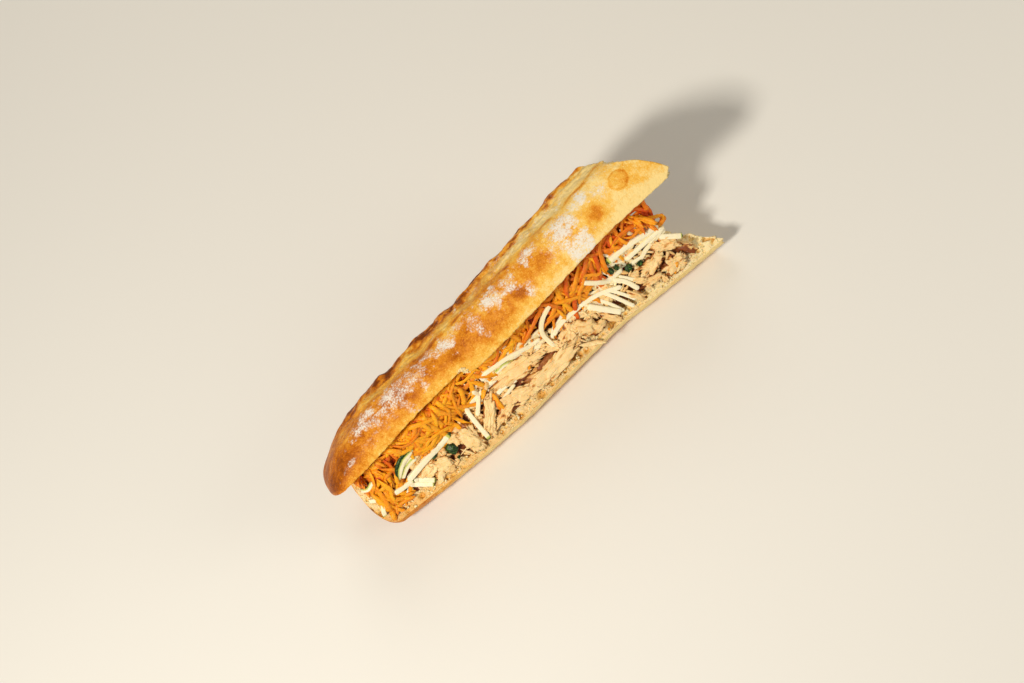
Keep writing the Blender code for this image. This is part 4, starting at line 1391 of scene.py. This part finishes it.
def scatter(count, low_x, high_x, sizes, divisions, lift, spread):
    """Scraps between the slabs; a lower spread puts fewer of them low down."""
    for _ in range(count):
        x = between(low_x, high_x)
        low, high = chicken_low(x), through(CARROT_LOW, x) + 1
        seen = low + (high - low) * random.random() ** spread
        if x > 105 - 0.35 * seen or within(x, seen, DARK_GAPS) or (on_slab(x, seen) and random.random() < 0.9):
            continue
        size = between(*sizes)
        shape = (size * between(1.0, 1.9), size * between(0.6, 1.0), size * between(0.5, 0.8))
        lean = random.gauss(-0.5, 0.9)
        rise = between(*lift)
        # Scraps that sit lower get a darker tint as painted shade; about one in eight is browner of its own
        tint = clamp(random.gauss(0.2, 0.18) + 0.4 * clamp(-0.6 * rise) + (0.5 if random.random() < 0.12 else 0))
        drop(chickens, (x, seen), rise, lean, shape, tint, divisions, 0.2 * size**0.5, 0.5)


scatter(120, -98, 108, (3.6, 6.5), 3, (-1.6, 0.4), 0.9)
scatter(300, -100, 106, (1.4, 3.4), 2, (-1.2, 0.9), 1.1)

# %% Fibres, and the sides of the heap
FIBRES, END_LUMPS, HEEL_LUMPS, BACK_LUMPS = 200, 110, 70, 130
OVER_THE_EDGE = (((25.6, -12.7), (30, -15.5), (35, -19), (39.6, -23.4)), ((28, -14.6), (32, -17.4), (36, -20.6)))
for _ in range(FIBRES):
    x = between(-96, 104)
    seen = between(chicken_low(x) + 1, through(CARROT_LOW, x))
    if within(x, seen, DARK_GAPS) or on_slab(x, seen):
        continue
    places = crossing(x, seen, random.gauss(-0.7, 0.7), between(5, 15), 0.3)
    lift, wide = between(-0.4, 1.6), between(0.8, 2.0)
    lay(chickens, places, lift, 9, 2, wide, 0.9, clamp(random.gauss(0.2, 0.2)), point=3, sides=6, rough=0.4)
for places in OVER_THE_EDGE:
    lay(chickens, places, 1.2, 14, 2, 3.0, 1.8, 0.08, slope=0.6, point=3, sides=10, rough=0.4)


def side_lump(x, y, facing, size, divisions):
    """A lump in a side of the heap, between the crumb and the top of the meat."""
    floor = cut_z(y) + 1
    place = Vector((x, y, floor + max(2.0, chicken_top(x, y) - floor) * random.random()))
    shape = (size * 1.5, size, size * 0.7)
    tint = clamp(random.gauss(0.35, 0.2))
    torn(chickens, place, Vector(facing).normalized(), between(0, 3), shape, tint, divisions, 0.5, 0.5)


for _ in range(END_LUMPS):
    y = between(-25, 22)
    side_lump(base_end(y) - between(10.5, 14), y, (0.72, 0.6, 0.35), between(3.5, 7), 3)
for _ in range(HEEL_LUMPS):
    y = between(-21, 13)
    side_lump(HEEL_X + between(6.5, 9.5), y, (-0.85, -0.2, 0.45), between(2.6, 4.6), 2)
for _ in range(BACK_LUMPS):
    x = between(-110, 106)
    side_lump(x, through(FILL_BACK, x) + between(-0.8, 0.8), (0, 0.9, 0.3), between(3, 5.5), 2)
chickens.make("chicken", "chicken")

# %% [markdown]
# ## The insides of the heaps
# Behind the loose pieces each heap is solid. These two pads are never meant to be seen clearly: they close the
# heap, and their dark warm colour is painted shade that shows in the gaps between the pieces.

# %% Fill the heaps
pad(
    "chicken_heap", CHICKEN_SHADE_PAD, "chicken",
    lambda x, y: cut_z(y) - 1.5, lambda x, y: chicken_top(x, y) - 2.8 + 1.6 * cloud(x, y, 0, 3.4),
    lambda x: through(BASE_FRONT, x) + CHICKEN_FRONT + 4 + bare_rim(x), 15,
)
pad(
    "carrot_heap", CARROT_SHADE_PAD, "carrot",
    lambda x, y: slab_top(x, y) - 2.5, lambda x, y: carrot_top(x, y) - 3.4 + 1.2 * cloud(x, y, 0, 5),
    lambda x: through(VEG_FRONT, x) + 2, 13,
)

# %% [markdown]
# ## Crumbs
# Tearing bread leaves crumbs on the rim, and bits of everything fall into everything else. Some 150 crumbs on
# the rim, a white tuft at the notch in the lip and specks of carrot on the chicken take the tidy look away.

# %% Drop crumbs and specks
RIM_CRUMBS, TUFT_CRUMBS, NOTCH_X = 150, 34, -36.4
# Each speck of carrot: where it is seen, length and width
SPECKS = (((102.6, -13.6), 3.6, 2.2), ((-6, -2.6), 3, 1.6), ((46, -18.5), 1.6, 1.2), ((99, -19), 1.8, 1))
crumbs = Heap("crumbs", CRUMB)
for _ in range(RIM_CRUMBS):
    x = between(-118, 128)
    y = min(through(BASE_FRONT, x) + between(0.6, 7.5), 24 - 0.25 * (x + 20))
    if x > base_end(y) - 2:
        continue
    size = between(0.5, 1.5)
    place = Vector((x, y, cut_z(y) + 0.2 * size))
    torn(crumbs, place, Vector((0, 0, 1)), between(0, 3), (size * 1.3, size, size), 0.2, 2, 0.2, 0.5, 0.0)
for _ in range(TUFT_CRUMBS):
    x = random.gauss(NOTCH_X, 1.3)
    lip, _, along, out = lid_frame(x)
    place = lip + along * between(-0.4, 2.4) + out * (between(-0.6, 1.8) - droop(x, 0))
    size = between(0.5, 1.3)
    torn(crumbs, place, out, between(0, 3), (size * 2.2, size, size), 0.2, 3, 0.3, 0.7, 0.0)
crumbs.make("pale_crust")

specks = Heap("carrot_specks", CARROT)
for places, long, wide in SPECKS:
    drop(specks, places, 3.0, 0.8, (long, wide, 1.6), 0.2, 3, 0.2, 0.4, 0.0)
specks.make("carrot")
